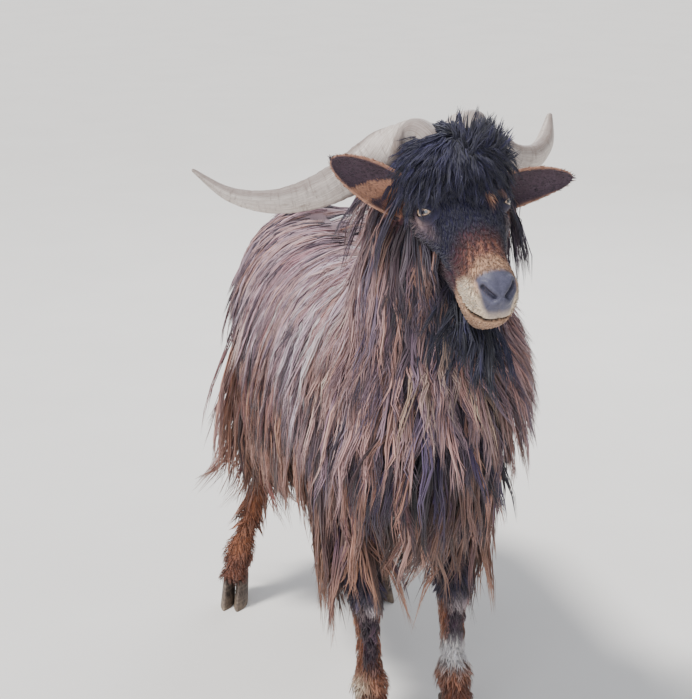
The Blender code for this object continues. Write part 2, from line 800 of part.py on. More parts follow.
def torso_hair(drape):
    """Tiers of locks down both flanks, round the rump and across the chest."""
    draw = random.Random(SEED)
    hair = []
    for row, (angle, count, length, width, lift) in enumerate(COAT_ROWS):
        for side in SIDES.values():
            for k in range(count):
                share = (k + 0.5 * (row % 2) + draw.uniform(-0.2, 0.2)) / (count - 0.5)
                y = COAT_START + (COAT_END - COAT_START) * min(max(share, 0.0), 1.0)
                turn = math.radians(angle + draw.uniform(-3, 3)) * side
                place, normal = drape.root(
                    Vector((0, y, AXIS_HEIGHT)), Vector((math.sin(turn), 0, math.cos(turn))))
                lie = Vector((side * max(math.cos(turn), 0), 0.35, -1.0))
                hair += comb(draw, drape, place, normal, lie, length, width, lift)
    count, length, width, lift = SPINE_ROW
    for k in range(count):
        y = COAT_START + (COAT_END - COAT_START) * (k + 0.3) / count
        place, normal = drape.root(Vector((0, y, AXIS_HEIGHT)), UP)
        lie = Vector((draw.uniform(-0.2, 0.2), 1.0, 0.0))
        hair += comb(draw, drape, place, normal, lie, length, width, lift, 0.35)
    for height, count, length, width, lift in RUMP_ROWS:
        for k in range(count):
            turn = math.radians(-70 + 140 * (k + 0.5) / count + draw.uniform(-6, 6))
            place, normal = drape.root(
                Vector((0, 0.54, height)), Vector((math.sin(turn), math.cos(turn), 0)))
            lie = Vector((math.sin(turn) * 0.3, 0.15, -1.0))
            hair += comb(draw, drape, place, normal, lie, length, width, lift)
    for height, count, length, width, lift in CHEST_ROWS:
        for k in range(count):
            turn = math.radians(-72 + 144 * (k + 0.5) / count + draw.uniform(-6, 6))
            place, normal = drape.root(
                Vector((0, -0.03, height)), Vector((math.sin(turn), -math.cos(turn), 0)))
            lie = Vector((math.sin(turn) * 0.2, 0.0, -1.0))
            hair += comb(draw, drape, place, normal, lie, length, width, lift)
    return hair


def neck_hair(drape):
    """Rings of long locks that hang from the neck over chest and shoulders."""
    draw = random.Random(SEED + 1)
    hair = []
    low = Vector(NECK[0][:3])
    high = Vector(NECK[-1][:3])
    for row, (share, count, length, width, lift) in enumerate(MANE_ROWS):
        center = Vector(spline(NECK, 101)[int(share * 100)][:3])
        along = (high - low).normalized()
        front = (Vector((0, -1, 0)) + along * along.y).normalized()
        for k in range(count):
            turn = math.radians(360 * (k + 0.5 * (row % 2)) / count + draw.uniform(-6, 6))
            toward = front * math.cos(turn) + Vector((1, 0, 0)) * math.sin(turn)
            place, normal = drape.root(center, toward.normalized())
            lie = Vector((math.sin(turn) * 0.15, 0.05, -1.0))
            hair += comb(draw, drape, place, normal, lie, length, width, lift)
    return hair


def forelock_cap(grow):
    turn = Matrix((HEAD_SIDE, HEAD_FORWARD, HEAD_UP)).transposed()
    center = on_head(0.0, 0.038, 0.004)
    size = 0.052
    return ball(center, size + grow, (1.05, 1.10, 0.72), turn, cuts=12)


def forelock_hair(cap):
    """Locks that spring from the crown and fall forward and to the sides."""
    draw = random.Random(SEED + 2)
    hair = []
    center = on_head(0.0, 0.030, -0.010)
    for k in range(FORELOCK_LOCKS):
        around = k * 2.39996
        spread = math.sqrt((k + 0.5) / FORELOCK_LOCKS) * math.radians(88)
        toward = (
            HEAD_UP * math.cos(spread)
            + HEAD_FORWARD * (math.sin(spread) * math.cos(around) + 0.15)
            + HEAD_SIDE * (math.sin(spread) * math.sin(around))
        ).normalized()
        place, normal = cap.root(center, toward)
        lie = toward * 0.4 + HEAD_FORWARD * 0.7 + HEAD_SIDE * (0.5 * math.sin(around))
        upright = 0.35 if spread < math.radians(40) else 0.75
        hair += comb(draw, cap, place, normal, lie, FORELOCK_LONG, FORELOCK_WIDE, 0.020, upright)
    return hair


def beard_pad(grow):
    turn = Matrix((HEAD_SIDE, HEAD_FORWARD, HEAD_UP)).transposed()
    return ball(on_head(0, 0.165, -0.098), 1.0, (0.021 + grow, 0.036 + grow, 0.020 + grow), turn, cuts=10)


def beard_hair(pad):
    """A cluster of locks that hang from the chin."""
    draw = random.Random(SEED + 3)
    hair = []
    center = on_head(0, 0.165, -0.098)
    for k in range(BEARD_LOCKS):
        around = k * 2.39996
        spread = math.sqrt((k + 0.5) / BEARD_LOCKS) * math.radians(62)
        toward = (
            DOWN * math.cos(spread)
            + HEAD_FORWARD * (math.sin(spread) * math.cos(around))
            + HEAD_SIDE * (math.sin(spread) * math.sin(around))
        ).normalized()
        place, normal = pad.root(center, toward)
        hair += comb(draw, pad, place, normal, toward * 0.3 + DOWN, BEARD_LONG, BEARD_WIDE, 0.008, 0.95)
    return hair


def cheek_hair(drape):
    """Locks that hang from the jaws over the throat."""
    draw = random.Random(SEED + 4)
    hair = []
    for side in SIDES.values():
        for k in range(CHEEK_LOCKS):
            forward = 0.115 - 0.034 * k
            center = on_head(0, forward, -0.070 - 0.008 * k)
            toward = (HEAD_SIDE * side + DOWN * 0.35).normalized()
            place, normal = drape.root(center, toward)
            lie = DOWN + HEAD_SIDE * (0.2 * side) - HEAD_FORWARD * 0.15
            hair += comb(draw, drape, place, normal, lie, CHEEK_LONG, 0.032, 0.012)
    return hair


def leg_hair(foot, drape, rows, stations, seed):
    """Rings of short locks round the upper leg."""
    draw = random.Random(seed)
    side = SIDES[foot.split("_")[1]]
    hair = []
    path = spline(stations, 41)
    for row, (height, count, length, width) in enumerate(rows):
        station = min(path, key=lambda s: abs(s[2] - height))
        center = Vector((station[0] * side, station[1], station[2]))
        for k in range(count):
            turn = 2 * math.pi * (k + 0.5 * (row % 2) + draw.uniform(-0.15, 0.15)) / count
            toward = Vector((math.sin(turn), math.cos(turn), 0))
            place, normal = drape.root(center, toward)
            hair += comb(draw, drape, place, normal, DOWN, length, width, 0.010)
    return hair


def tail_hair(drape):
    draw = random.Random(SEED + 5)
    hair = []
    for k in range(TAIL_LOCKS):
        share = (k + 0.5) / TAIL_LOCKS
        row = spline(TAIL, 21)[int(share * 20)]
        side = 1 if k % 2 else -1
        center = Vector((0, row[0], row[1]))
        place, normal = drape.root(center, Vector((side * 0.8, 0.1, -0.3)).normalized())
        lie = Vector((side * 0.3, 0.7, -0.7))
        hair += comb(draw, drape, place, normal, lie, TAIL_LONG, 0.026, 0.006)
    return hair


def build_node(name, pieces, cutters, material_name, carving=()):
    """Fuse the pieces, carve details, cut the neighbours' grown pieces away, name the node."""
    obj = solid_pieces(pieces)
    combine(obj, carving, "DIFFERENCE")
    for cutter in cutters:
        grown = solid_pieces(cutter)
        trim = obj.modifiers.new("trim", "BOOLEAN")
        trim.operation = "DIFFERENCE"
        trim.object = grown
        trim.solver = "MANIFOLD"
        apply_modifiers(obj)
        bpy.data.objects.remove(grown)
    dropped = keep_largest(obj)
    obj.name = name
    obj.data.name = name
    obj.data.materials.clear()
    obj.data.materials.append(material(name, COLORS[material_name]))
    for polygon in obj.data.polygons:
        polygon.use_smooth = False
    print(name, len(obj.data.polygons), "faces,", dropped, "scraps dropped")
    return obj


def material(name, color):
    """A plain surface of one colour."""
    surface = bpy.data.materials.new(name)
    surface.use_nodes = True
    shader = surface.node_tree.nodes["Principled BSDF"]
    shader.inputs["Base Color"].default_value = (*color, 1.0)
    shader.inputs["Roughness"].default_value = 0.7
    shader.inputs["Metallic"].default_value = 0.0
    return surface


def eye_place(side):
    out, forward, up = EYE_PLACE
    return on_head(out * side, forward, up)


def eyeball(side, grow):
    return ball(eye_place(side), EYE_RADIUS + grow, cuts=10)


def orbit(side, grow):
    return ball(eye_place(side), ORBIT_RADIUS + grow, cuts=10)


def lid_opening(side):
    """An almond prism that opens the lids over the eye."""
    facing = Vector((EYE_FACING.x * side, EYE_FACING.y, EYE_FACING.z))
    out = head_direction(facing)
    along = (HEAD_FORWARD - out * out.dot(HEAD_FORWARD)).normalized()
    above = out.cross(along) * side
    rings = []
    for reach, size in ((0.004, 0.8), (0.030, 1.5)):
        center = eye_place(side) + out * reach
        rings.append(oval(
            center, along, above, LID_OPENING[0] * size, LID_OPENING[1] * size,
            LID_OPENING[1] * size * 0.85, 12, 1.6,
        ))
    return loft(rings)


def nostril(side):
    """A slanted slit cut into the nose pad."""
    out, forward, up = NOSTRIL_PLACE
    slant = Matrix((HEAD_SIDE, HEAD_FORWARD, HEAD_UP)).transposed()
    slant = slant @ Matrix.Rotation(math.radians(-38.0 * side), 3, "Y")
    return ball(
        on_head(out * side, forward, up), 1.0,
        (0.0085, 0.0120, 0.0028), slant, cuts=10,
    )


def mouth_line():
    """A thin cutter that follows the lips from corner to corner round the muzzle."""
    rings = []
    count = 13
    front = HEAD[-1][0] + 0.001
    for i in range(count):
        angle = math.pi * i / (count - 1)
        side = math.cos(angle)
        forward = MOUTH_CORNER + (front - MOUTH_CORNER) * math.sin(angle) ** 0.8
        wide = 0.0365 * math.copysign(abs(side) ** 0.62, side)
        up = MOUTH_HEIGHT + 0.006 * math.cos(angle) ** 2
        outer = on_head(wide * 1.05, forward + 0.004 * math.sin(angle), up)
        inner = on_head(wide * 0.80, forward - MOUTH_DEEP * math.sin(angle), up)
        thick = HEAD_UP * (MOUTH_WIDE / 2)
        rings.append([outer - thick, outer + thick, inner + thick, inner - thick])
    return loft(rings)


def remove_everything():
    for obj in list(bpy.data.objects):
        bpy.data.objects.remove(obj)
    for block in list(bpy.data.collections):
        bpy.data.collections.remove(block)


remove_everything()
goat = bpy.data.collections.new("carpathian_goat")
bpy.context.scene.collection.children.link(goat)

FEET = ["fore_left", "fore_right", "hind_left", "hind_right"]
UPPERS = [leg_upper(foot, 0.0) for foot in FEET]
LOWERS = [leg_lower(foot, 0.0) for foot in FEET]
TRUNK = [torso_core(0.0), neck_core(0.0), head_core(0.0), tail_core(0.0)]
HAIR = {
    "torso": torso_hair(Drape(TRUNK[0], TRUNK[1:] + UPPERS + LOWERS)),
    "neck": neck_hair(Drape(TRUNK[1], [TRUNK[0], TRUNK[2]])),
    "head": cheek_hair(Drape(TRUNK[2], [TRUNK[1]])),
    "forelock": forelock_hair(Drape(forelock_cap(0.0), [TRUNK[2]])),
    "beard": beard_hair(Drape(beard_pad(0.0))),
    "tail": tail_hair(Drape(TRUNK[3])),
}
for number, foot in enumerate(FEET):
    stations = FORELEG_UPPER if foot.startswith("fore") else HINDLEG_UPPER
    rows = FORELEG_ROWS if foot.startswith("fore") else THIGH_ROWS
    cover = Drape(UPPERS[number], [LOWERS[number]])
    HAIR[foot] = leg_hair(foot, cover, rows, stations, SEED + 10 + number)


def head_pieces(grow):
    return [head_core(grow), orbit(1.0, grow), orbit(-1.0, grow)] + locks(HAIR["head"], grow)


def horn_pieces(side, grow):
    return [horn_core(side, grow)]


def ear_pieces(name, grow):
    return [ear_shell(name, grow)]


def forelock_pieces(grow):
    return [forelock_cap(grow)] + locks(HAIR["forelock"], grow)


def beard_pieces(grow):
    return [beard_pad(grow)] + locks(HAIR["beard"], grow)


def neck_pieces(grow):
    return [neck_core(grow)] + locks(HAIR["neck"], grow)


def torso_pieces(grow):
    return [torso_core(grow)] + locks(HAIR["torso"], grow)


def tail_pieces(grow):
    return [tail_core(grow)] + locks(HAIR["tail"], grow)


def upper_pieces(foot, grow):
    return [leg_upper(foot, grow)] + locks(HAIR[foot], grow)


def lower_pieces(foot, grow):
    return [leg_lower(foot, grow)]


for name, side in SIDES.items():
    build_node("eye_" + name, [eyeball(side, 0.0)], [], "eye")

carving = [lid_opening(1.0), lid_opening(-1.0), nostril(1.0), nostril(-1.0), mouth_line()]
build_node("head", head_pieces(0.0), [[eyeball(1.0, JOIN_GAP)], [eyeball(-1.0, JOIN_GAP)]], "head",
           carving)

grown_head = head_pieces(JOIN_GAP)
grown_horns = [horn_pieces(side, JOIN_GAP) for side in SIDES.values()]
grown_ears = [ear_pieces(name, JOIN_GAP) for name in SIDES]
for name, side in SIDES.items():
    build_node("horn_" + name, horn_pieces(side, 0.0), [grown_head], "horn")
    build_node("ear_" + name, ear_pieces(name, 0.0), [grown_head] + grown_horns, "ear")

build_node("forelock", forelock_pieces(0.0), [grown_head] + grown_horns + grown_ears, "forelock")
grown_crown = [grown_head, forelock_pieces(JOIN_GAP)] + grown_horns + grown_ears
build_node("beard", beard_pieces(0.0), [grown_head], "beard")
build_node("neck", neck_pieces(0.0), grown_crown + [beard_pieces(JOIN_GAP)], "coat")
front = [neck_pieces(JOIN_GAP), beard_pieces(JOIN_GAP)]
build_node("torso", torso_pieces(0.0), front, "coat")
grown_torso = torso_pieces(JOIN_GAP)
build_node("tail", tail_pieces(0.0), [grown_torso], "coat")
for foot in FEET:
    kind, side_name = foot.split("_")
    upper = {"fore": "foreleg_upper_", "hind": "thigh_"}[kind] + side_name
    lower = {"fore": "foreleg_lower_", "hind": "hindleg_lower_"}[kind] + side_name
    build_node(upper, upper_pieces(foot, 0.0), [grown_torso] + front, "coat")
    build_node(lower, lower_pieces(foot, 0.0), [upper_pieces(foot, JOIN_GAP), grown_torso], "leg")
    for which, word in ((1.0, "left"), (-1.0, "right")):
        build_node("hoof_" + foot + "_" + word, [claw(foot, which, 0.0)],
                   [lower_pieces(foot, JOIN_GAP)], "hoof")


def center_over_origin():
    """Move every node so that the middle of the goat's box stands over the origin."""
    points = [vertex.co for obj in goat.objects for vertex in obj.data.vertices]
    low = [min(p[axis] for p in points) for axis in range(3)]
    high = [max(p[axis] for p in points) for axis in range(3)]
    for obj in goat.objects:
        obj.location = (-(low[0] + high[0]) / 2, -(low[1] + high[1]) / 2, -low[2])
    print("moved by", [round(v, 5) for v in obj.location])


center_over_origin()
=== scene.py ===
# %% [markdown]
# # A Carpathian goat, life-size
# A long-haired buck stands still, with its head turned a little to its left. The solids
# that carry it come in as a fixed frame. This lesson dresses them: one skin for the whole
# body, eyes with lids, ringed horns, split hooves, and a coat of real locks in mesh.

# %% Load the solids
import math

import bmesh
import bpy
import numpy as np
from mathutils import Matrix, Vector
from mathutils.bvhtree import BVHTree


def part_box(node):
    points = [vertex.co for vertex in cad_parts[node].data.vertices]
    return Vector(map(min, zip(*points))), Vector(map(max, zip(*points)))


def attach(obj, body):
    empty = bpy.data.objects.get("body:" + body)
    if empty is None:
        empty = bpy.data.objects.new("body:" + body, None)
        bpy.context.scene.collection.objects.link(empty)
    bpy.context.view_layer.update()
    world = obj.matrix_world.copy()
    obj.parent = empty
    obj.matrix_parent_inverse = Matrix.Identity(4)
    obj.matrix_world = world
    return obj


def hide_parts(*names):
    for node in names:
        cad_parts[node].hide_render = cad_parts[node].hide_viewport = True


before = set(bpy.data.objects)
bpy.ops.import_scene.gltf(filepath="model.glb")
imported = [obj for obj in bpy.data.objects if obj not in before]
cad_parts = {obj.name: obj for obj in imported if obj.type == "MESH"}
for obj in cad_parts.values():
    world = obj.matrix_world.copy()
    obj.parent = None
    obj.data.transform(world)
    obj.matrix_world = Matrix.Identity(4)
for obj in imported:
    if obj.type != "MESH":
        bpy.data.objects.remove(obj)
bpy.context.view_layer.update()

# %% [markdown]
# ## Where the goat stands
# The goat was laid out with its front feet near y = 0, its nose toward -Y and the middle of
# its body on x = 0. The solids were then centred over the floor, so one shift leads from the
# layout to the frame. The two eyes show how large that shift is. The head has directions of
# its own, because it is turned, dropped and leaned, and so have the horns, which stay level.

# %% The head's own directions
POLL = Vector((0.011, -0.103, 0.916))
HEAD_TURN, HEAD_DROP, HEAD_ROLL = math.radians(5.0), math.radians(35.0), math.radians(4.0)
HORN_ROLL = math.radians(5.0)
EYE_PLACE = (0.0500, 0.092, -0.021)          # out to the side, forward, up
EYE_RADIUS = 0.0135
SIDES = {"left": 1.0, "right": -1.0}


def head_axes(drop, roll):
    turned = Matrix.Rotation(HEAD_TURN, 3, "Z") @ Matrix.Rotation(drop, 3, "X")
    turned = turned @ Matrix.Rotation(-roll, 3, "Y")
    return [turned @ Vector(v) for v in ((1, 0, 0), (0, -1, 0), (0, 0, 1))]


HEAD_AXES = head_axes(HEAD_DROP, HEAD_ROLL)
LEVEL_AXES = head_axes(0.0, HORN_ROLL)
eye_boxes = [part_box("eye_left"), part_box("eye_right")]
eyes_seen = sum((Vector(c) for box in eye_boxes for c in box), Vector()) / 4
eyes_drawn = POLL + HEAD_AXES[1] * EYE_PLACE[1] + HEAD_AXES[2] * EYE_PLACE[2]
SHIFT = eyes_seen - eyes_drawn
SHIFT_ROW = np.array(SHIFT)
POLL = POLL + SHIFT


def on_head(side, forward, up):
    return POLL + HEAD_AXES[0] * side + HEAD_AXES[1] * forward + HEAD_AXES[2] * up


def aim(axes, side, forward, up):
    return (axes[0] * side + axes[1] * forward + axes[2] * up).normalized()


HEAD_TABLE = np.array([list(a) for a in HEAD_AXES])


def head_place(points):
    """Side, forward and up of many points at once."""
    return (points - np.array(POLL)) @ HEAD_TABLE.T


def laid_out(points):
    """The places of many points in the goat's own layout."""
    return points - SHIFT_ROW


print("shift", [round(c, 4) for c in SHIFT])

# %% [markdown]
# ## Camera, floor and light
# The camera looks down a little from above the goat's back, from its right, with a long
# lens. It comes first, since everything is compared through it.
# A soft high sun from beyond the goat's right shoulder lights the back and the horns from
# above, as on the day. Two broad lamps and a pale room keep the dark coat readable.

# %% Camera and studio
FOCAL, PITCH, YAW = 1752.0, math.radians(16.5), math.radians(14.9)
CAMERA_UP, CAMERA_ASIDE, CAMERA_AWAY = 1.314, 0.093, 2.387
FRAME_HIGH, SENSOR_HIGH = 699.0, 36.0        # in picture points and in millimetres


def look_through():
    data = bpy.data.cameras.new("camera")
    camera = bpy.data.objects.new("camera", data)
    bpy.context.scene.collection.objects.link(camera)
    c, s = math.cos(YAW), math.sin(YAW)
    back = Vector((-s, -c, 0.0)) * CAMERA_AWAY + Vector((-c, s, 0.0)) * CAMERA_ASIDE
    camera.location = back + Vector((0.0, 0.0, CAMERA_UP)) + SHIFT
    gaze = Vector((s * math.cos(PITCH), c * math.cos(PITCH), -math.sin(PITCH)))
    camera.rotation_euler = gaze.to_track_quat("-Z", "Y").to_euler()
    data.sensor_fit, data.sensor_height = "VERTICAL", SENSOR_HIGH
    data.lens = FOCAL * SENSOR_HIGH / FRAME_HIGH
    data.clip_start = 0.05
    bpy.context.scene.camera = camera
    return camera


def hang_lamp(name, kind, place, target, power, tint):
    """A sun or a broad lamp that shines from one place toward another."""
    data = bpy.data.lights.new(name, kind)
    data.energy, data.color = power, tint
    lamp = bpy.data.objects.new(name, data)
    lamp.location = place
    lamp.rotation_euler = (Vector(target) - Vector(place)).to_track_quat("-Z", "Y").to_euler()
    bpy.context.scene.collection.objects.link(lamp)
    return data


camera = look_through()
sun = hang_lamp("sun", "SUN", (-1.5, -0.15, 3.0), (0.0, 0.0, 0.0), 4.6, (1.0, 0.98, 0.96))
sun.angle = math.radians(12.0)
fill = hang_lamp("front_fill", "AREA", (-1.6, -2.9, 1.6), (0.0, 0.0, 0.5), 44, (0.86, 0.90, 1.0))
fill.shape, fill.size = "DISK", 2.4
rim = hang_lamp("rim", "AREA", (1.4, 2.2, 2.4), (0.0, 0.2, 0.6), 40, (0.94, 0.96, 1.0))
rim.shape, rim.size = "DISK", 1.6
print("camera at", [round(c, 3) for c in camera.location])

# %% [markdown]
# ## Tools for round forms
# Every limb, the trunk and the head are ovals strung on a line. A flat grid of squares is
# made first and then rolled: one of its directions runs along the line and the other round
# it. The seam and the two ends close when doubles are merged. A grid is chosen over a
# primitive tube because the rings can then lie as close as the form needs.

# %% Rows on a curve, and the rolled tube
def smooth_rows(rows, places):
    """Numbers on a smooth curve through the given rows, at places from 0 to 1."""
    rows = np.array(rows, float)
    last = len(rows) - 1
    far = np.clip(np.asarray(places), 0, 1) * last
    i = np.minimum(far.astype(int), last - 1)
    t = (far - i)[:, None]
    a, b = rows[np.maximum(i - 1, 0)], rows[i]
    c, d = rows[i + 1], rows[np.minimum(i + 2, last)]
    bend = (t**3 - 2 * t**2 + t) * (c - a) / 2 + (t**3 - t**2) * (d - b) / 2
    return (2 * t**3 - 3 * t**2 + 1) * b + (3 * t**2 - 2 * t**3) * c + bend


def unit(vectors):
    return vectors / np.maximum(np.linalg.norm(vectors, axis=-1, keepdims=True), 1e-9)


def face_outward(bm):
    bm.normal_update()
    bmesh.ops.recalc_face_normals(bm, faces=bm.faces)


def grid_sheet(rows, columns, shape, merge=True):
    """A sheet of squares bent by shape(row share, column share)."""
    bm = bmesh.new()
    bmesh.ops.create_grid(bm, x_segments=rows, y_segments=columns, size=0.5)
    flat = np.array([v.co[:2] for v in bm.verts]) + 0.5
    for vert, place in zip(bm.verts, shape(flat[:, 0], flat[:, 1])):
        vert.co = place
    if merge:
        bmesh.ops.remove_doubles(bm, verts=bm.verts, dist=1e-6)
        bmesh.ops.dissolve_degenerate(bm, dist=1e-7, edges=bm.edges)
    face_outward(bm)
    return bm


CAP_RINGS = 9


def tube(center, across, upward, wide, rise, drop, power, sides, ends, jaw=None):
    """Ovals on a line, closed by round ends of the given lengths."""
    rows = len(center) - 1
    total = rows + 2 * CAP_RINGS
    jaw = np.zeros(len(center)) if jaw is None else jaw

    def shape(along, turn):
        ring = np.rint(along * total).astype(int) - CAP_RINGS
        core = np.clip(ring, 0, rows)
        over = (ring - core) / CAP_RINGS
        angle = np.abs(over) * math.pi / 2
        axis = np.where((over < 0)[:, None], center[0] - center[1], center[-1] - center[-2])
        push = np.where(over < 0, ends[0], ends[1]) * np.sin(angle)
        size = np.cos(angle)
        a = 2 * math.pi * turn
        c, s = np.cos(a), np.sin(a)
        bend = 2.0 / power[core]
        x = np.sign(c) * np.abs(c) ** bend * wide[core] * (1 - jaw[core] * np.maximum(-s, 0) ** 1.5)
        y = np.sign(s) * np.abs(s) ** bend * np.where(s > 0, rise[core], drop[core])
        place = center[core] + unit(axis) * push[:, None]
        return place + across[core] * (x * size)[:, None] + upward[core] * (y * size)[:, None]

    return grid_sheet(total, sides, shape)


def limb(stations, rings, sides, ends):
    """A leg or neck: ovals square to the line of their centres."""
    rows = smooth_rows(stations, np.linspace(0, 1, rings))
    center = rows[:, :3] + SHIFT_ROW
    along = unit(np.gradient(center, axis=0))
    front = unit(np.array((0.0, 1.0, 0.0)) - along * along[:, 1:2])
    across = np.cross(along, front)
    oval = np.full(rings, 2.0)
    return tube(center, across, front, rows[:, 3], rows[:, 4], rows[:, 4], oval, sides, ends)


# %% Objects from a bmesh
def make_object(name, bm, smooth=True):
    mesh = bpy.data.meshes.new(name)
    bm.to_mesh(mesh)
    bm.free()
    mesh.shade_smooth() if smooth else mesh.shade_flat()
    obj = bpy.data.objects.new(name, mesh)
    bpy.context.scene.collection.objects.link(obj)
    return obj


def apply_modifiers(obj):
    """The object keeps the shape that its modifiers give it."""
    graph = bpy.context.evaluated_depsgraph_get()
    mesh = bpy.data.meshes.new_from_object(obj.evaluated_get(graph))
    obj.modifiers.clear()
    obj.data = mesh
    obj.data.name = obj.name


def steady_order(bm):
    """A union or a sphere has its faces in a chance order. Their corners give a steady one."""
    count = len(bm.verts)
    bm.verts.index_update()

    def rank(item):
        lowest = sorted(v.index for v in item.verts)[:3]
        return sum(index / count**k for k, index in enumerate(lowest))

    for items in (bm.edges, bm.faces):
        items.sort(key=rank)


def fuse(base, others):
    """Join closed objects into the base as one closed skin."""
    for other in others:
        join = base.modifiers.new("join", "BOOLEAN")
        join.operation, join.object, join.solver = "UNION", other, "MANIFOLD"
        apply_modifiers(base)
        bpy.data.objects.remove(other)
    bm = bmesh.new()
    bm.from_mesh(base.data)
    steady_order(bm)
    bm.to_mesh(base.data)
    bm.free()


def tri_count(obj):
    obj.data.calc_loop_triangles()
    return len(obj.data.loop_triangles)


# %% [markdown]
# ## The body under the coat
# The trunk hangs between the shoulders and the hips, with a deep chest, and the neck rises
# steeply from it. Each leg is one form from thigh to pastern, so that no joint shows. The
# trunk, neck, tail and legs are fused and then remeshed into even squares of a few
# millimetres, which rounds the places where they meet as flesh does.

# %% Sizes of the trunk, neck and tail
# y, top, bottom, half width
TORSO = [
    (-0.140, 0.545, 0.490, 0.026), (-0.118, 0.585, 0.440, 0.068),
    (-0.070, 0.640, 0.395, 0.105), (0.010, 0.705, 0.360, 0.132),
    (0.120, 0.722, 0.342, 0.146), (0.260, 0.702, 0.335, 0.155),
    (0.400, 0.700, 0.345, 0.153), (0.520, 0.706, 0.385, 0.140),
    (0.605, 0.680, 0.450, 0.112), (0.650, 0.620, 0.520, 0.058),
]
# x, y, z, half width, half depth
NECK = [
    (0.000, 0.035, 0.560, 0.092, 0.105), (0.000, -0.015, 0.660, 0.085, 0.100),
    (-0.002, -0.055, 0.750, 0.074, 0.086), (-0.002, -0.078, 0.830, 0.064, 0.070),
    (0.000, -0.088, 0.880, 0.052, 0.050),
]
TAIL = [
    (0.0, 0.615, 0.655, 0.026, 0.022), (0.0, 0.655, 0.668, 0.024, 0.017),
    (0.0, 0.695, 0.668, 0.020, 0.013), (0.0, 0.735, 0.655, 0.014, 0.009),
    (0.0, 0.760, 0.640, 0.006, 0.005),
]
SKIN_SINK = 0.0015                           # the skin stays this far inside the solids
TORSO_RINGS, TORSO_SIDES = 60, 64
TORSO_SQUARE = 2.25                          # a little fuller than an oval, which is 2


def torso_form():
    rows = smooth_rows(TORSO, np.linspace(0, 1, TORSO_RINGS))
    middle = (rows[:, 1] + rows[:, 2]) / 2
    zero = np.zeros(TORSO_RINGS)
    center = np.stack([zero, rows[:, 0], middle], 1) + SHIFT_ROW
    across = np.tile((1.0, 0.0, 0.0), (TORSO_RINGS, 1))
    upward = np.tile((0.0, 0.0, 1.0), (TORSO_RINGS, 1))
    half = (rows[:, 1] - rows[:, 2]) / 2 - SKIN_SINK
    return tube(
        center, across, upward, rows[:, 3] - SKIN_SINK, half, half, zero + TORSO_SQUARE,
        TORSO_SIDES, (0.004, 0.012),
    )


# %% Sizes of the legs
# x outward, y, z, half width, half depth
FORELEG = [
    (0.082, 0.055, 0.445, 0.040, 0.070), (0.082, 0.050, 0.385, 0.036, 0.055),
    (0.077, 0.030, 0.320, 0.027, 0.035), (0.070, 0.010, 0.268, 0.020, 0.023),
    (0.067, -0.002, 0.232, 0.0225, 0.0245), (0.066, 0.001, 0.205, 0.0180, 0.0195),
    (0.065, 0.003, 0.160, 0.0150, 0.0165), (0.065, 0.003, 0.118, 0.0160, 0.0175),
    (0.065, 0.001, 0.093, 0.0220, 0.0245), (0.065, -0.008, 0.068, 0.0180, 0.0190),
    (0.065, -0.014, 0.047, 0.0225, 0.0245),
]
HINDLEG = [
    (0.080, 0.500, 0.560, 0.045, 0.095), (0.098, 0.480, 0.460, 0.045, 0.085),
    (0.098, 0.505, 0.385, 0.036, 0.058), (0.086, 0.555, 0.315, 0.025, 0.034),
    (0.077, 0.588, 0.275, 0.0195, 0.0255), (0.076, 0.596, 0.252, 0.0185, 0.0260),
    (0.084, 0.590, 0.215, 0.0150, 0.0190), (0.101, 0.580, 0.160, 0.0135, 0.0165),
    (0.115, 0.570, 0.115, 0.0150, 0.0175), (0.124, 0.562, 0.090, 0.0210, 0.0230),
    (0.132, 0.548, 0.066, 0.0175, 0.0185), (0.138, 0.540, 0.046, 0.0215, 0.0235),
]
FORE_FIXED, HIND_FIXED = 0.252, 0.282        # above this the leg keeps its drawn place
HOOF_OUT = {"fore_left": 0.075, "fore_right": 0.057, "hind_left": 0.094, "hind_right": 0.163}
HOOF_BACK = {"fore_left": -0.020, "fore_right": -0.020, "hind_left": 0.480, "hind_right": 0.520}
HOOF_LEAD = 0.006                            # the leg meets the hoof this far behind its middle
FEET = list(HOOF_OUT)


def leg_stations(foot):
    """The leg's rows, its lower part led to where its hoof stands."""
    fore = foot.startswith("fore")
    side = SIDES[foot.split("_")[1]]
    rows = FORELEG if fore else HINDLEG
    top = FORE_FIXED if fore else HIND_FIXED
    end = rows[-1]
    led = []
    for x, y, z, wide, deep in rows:
        share = max(0.0, top - z) / (top - end[2])
        x += (HOOF_OUT[foot] - end[0]) * share
        y += (HOOF_BACK[foot] + HOOF_LEAD - end[1]) * share
        led.append((x * side, y, z, wide - SKIN_SINK / 2, deep - SKIN_SINK / 2))
    return led


# %% Fuse the body and even out its squares
BODY_SQUARE, RELAX_ROUNDS = 0.0053, 5


def body_skin():
    torso = make_object("skin", torso_form())
    parts = [make_object("part", limb(NECK, 44, 48, (0.01, 0.02)))]
    parts.append(make_object("part", limb(TAIL, 24, 24, (0.01, 0.003))))
    for foot in FEET:
        parts.append(make_object("part", limb(leg_stations(foot), 90, 32, (0.01, 0.002))))
    fuse(torso, parts)
    squares = torso.modifiers.new("squares", "REMESH")
    squares.mode, squares.voxel_size, squares.use_smooth_shade = "VOXEL", BODY_SQUARE, True
    relax = torso.modifiers.new("relax", "SMOOTH")
    relax.factor, relax.iterations = 0.5, RELAX_ROUNDS
    apply_modifiers(torso)
    return torso


skin = body_skin()
print("body", tri_count(skin), "triangles")

# %% [markdown]
# ## The head
# A goat's face is long, with a flat forehead, brows that stand out over the eyes, a straight
# nose and a deep jaw that tapers to a full muzzle. The head starts as one rolled tube with
# rings packed toward the muzzle. Named swellings and grooves then move its skin in or out:
# brows, cheekbones, hollows, lips, nostrils and the line of the mouth. Sculpting by named
# places is chosen over carving, because it leaves soft edges, and both halves stay alike.

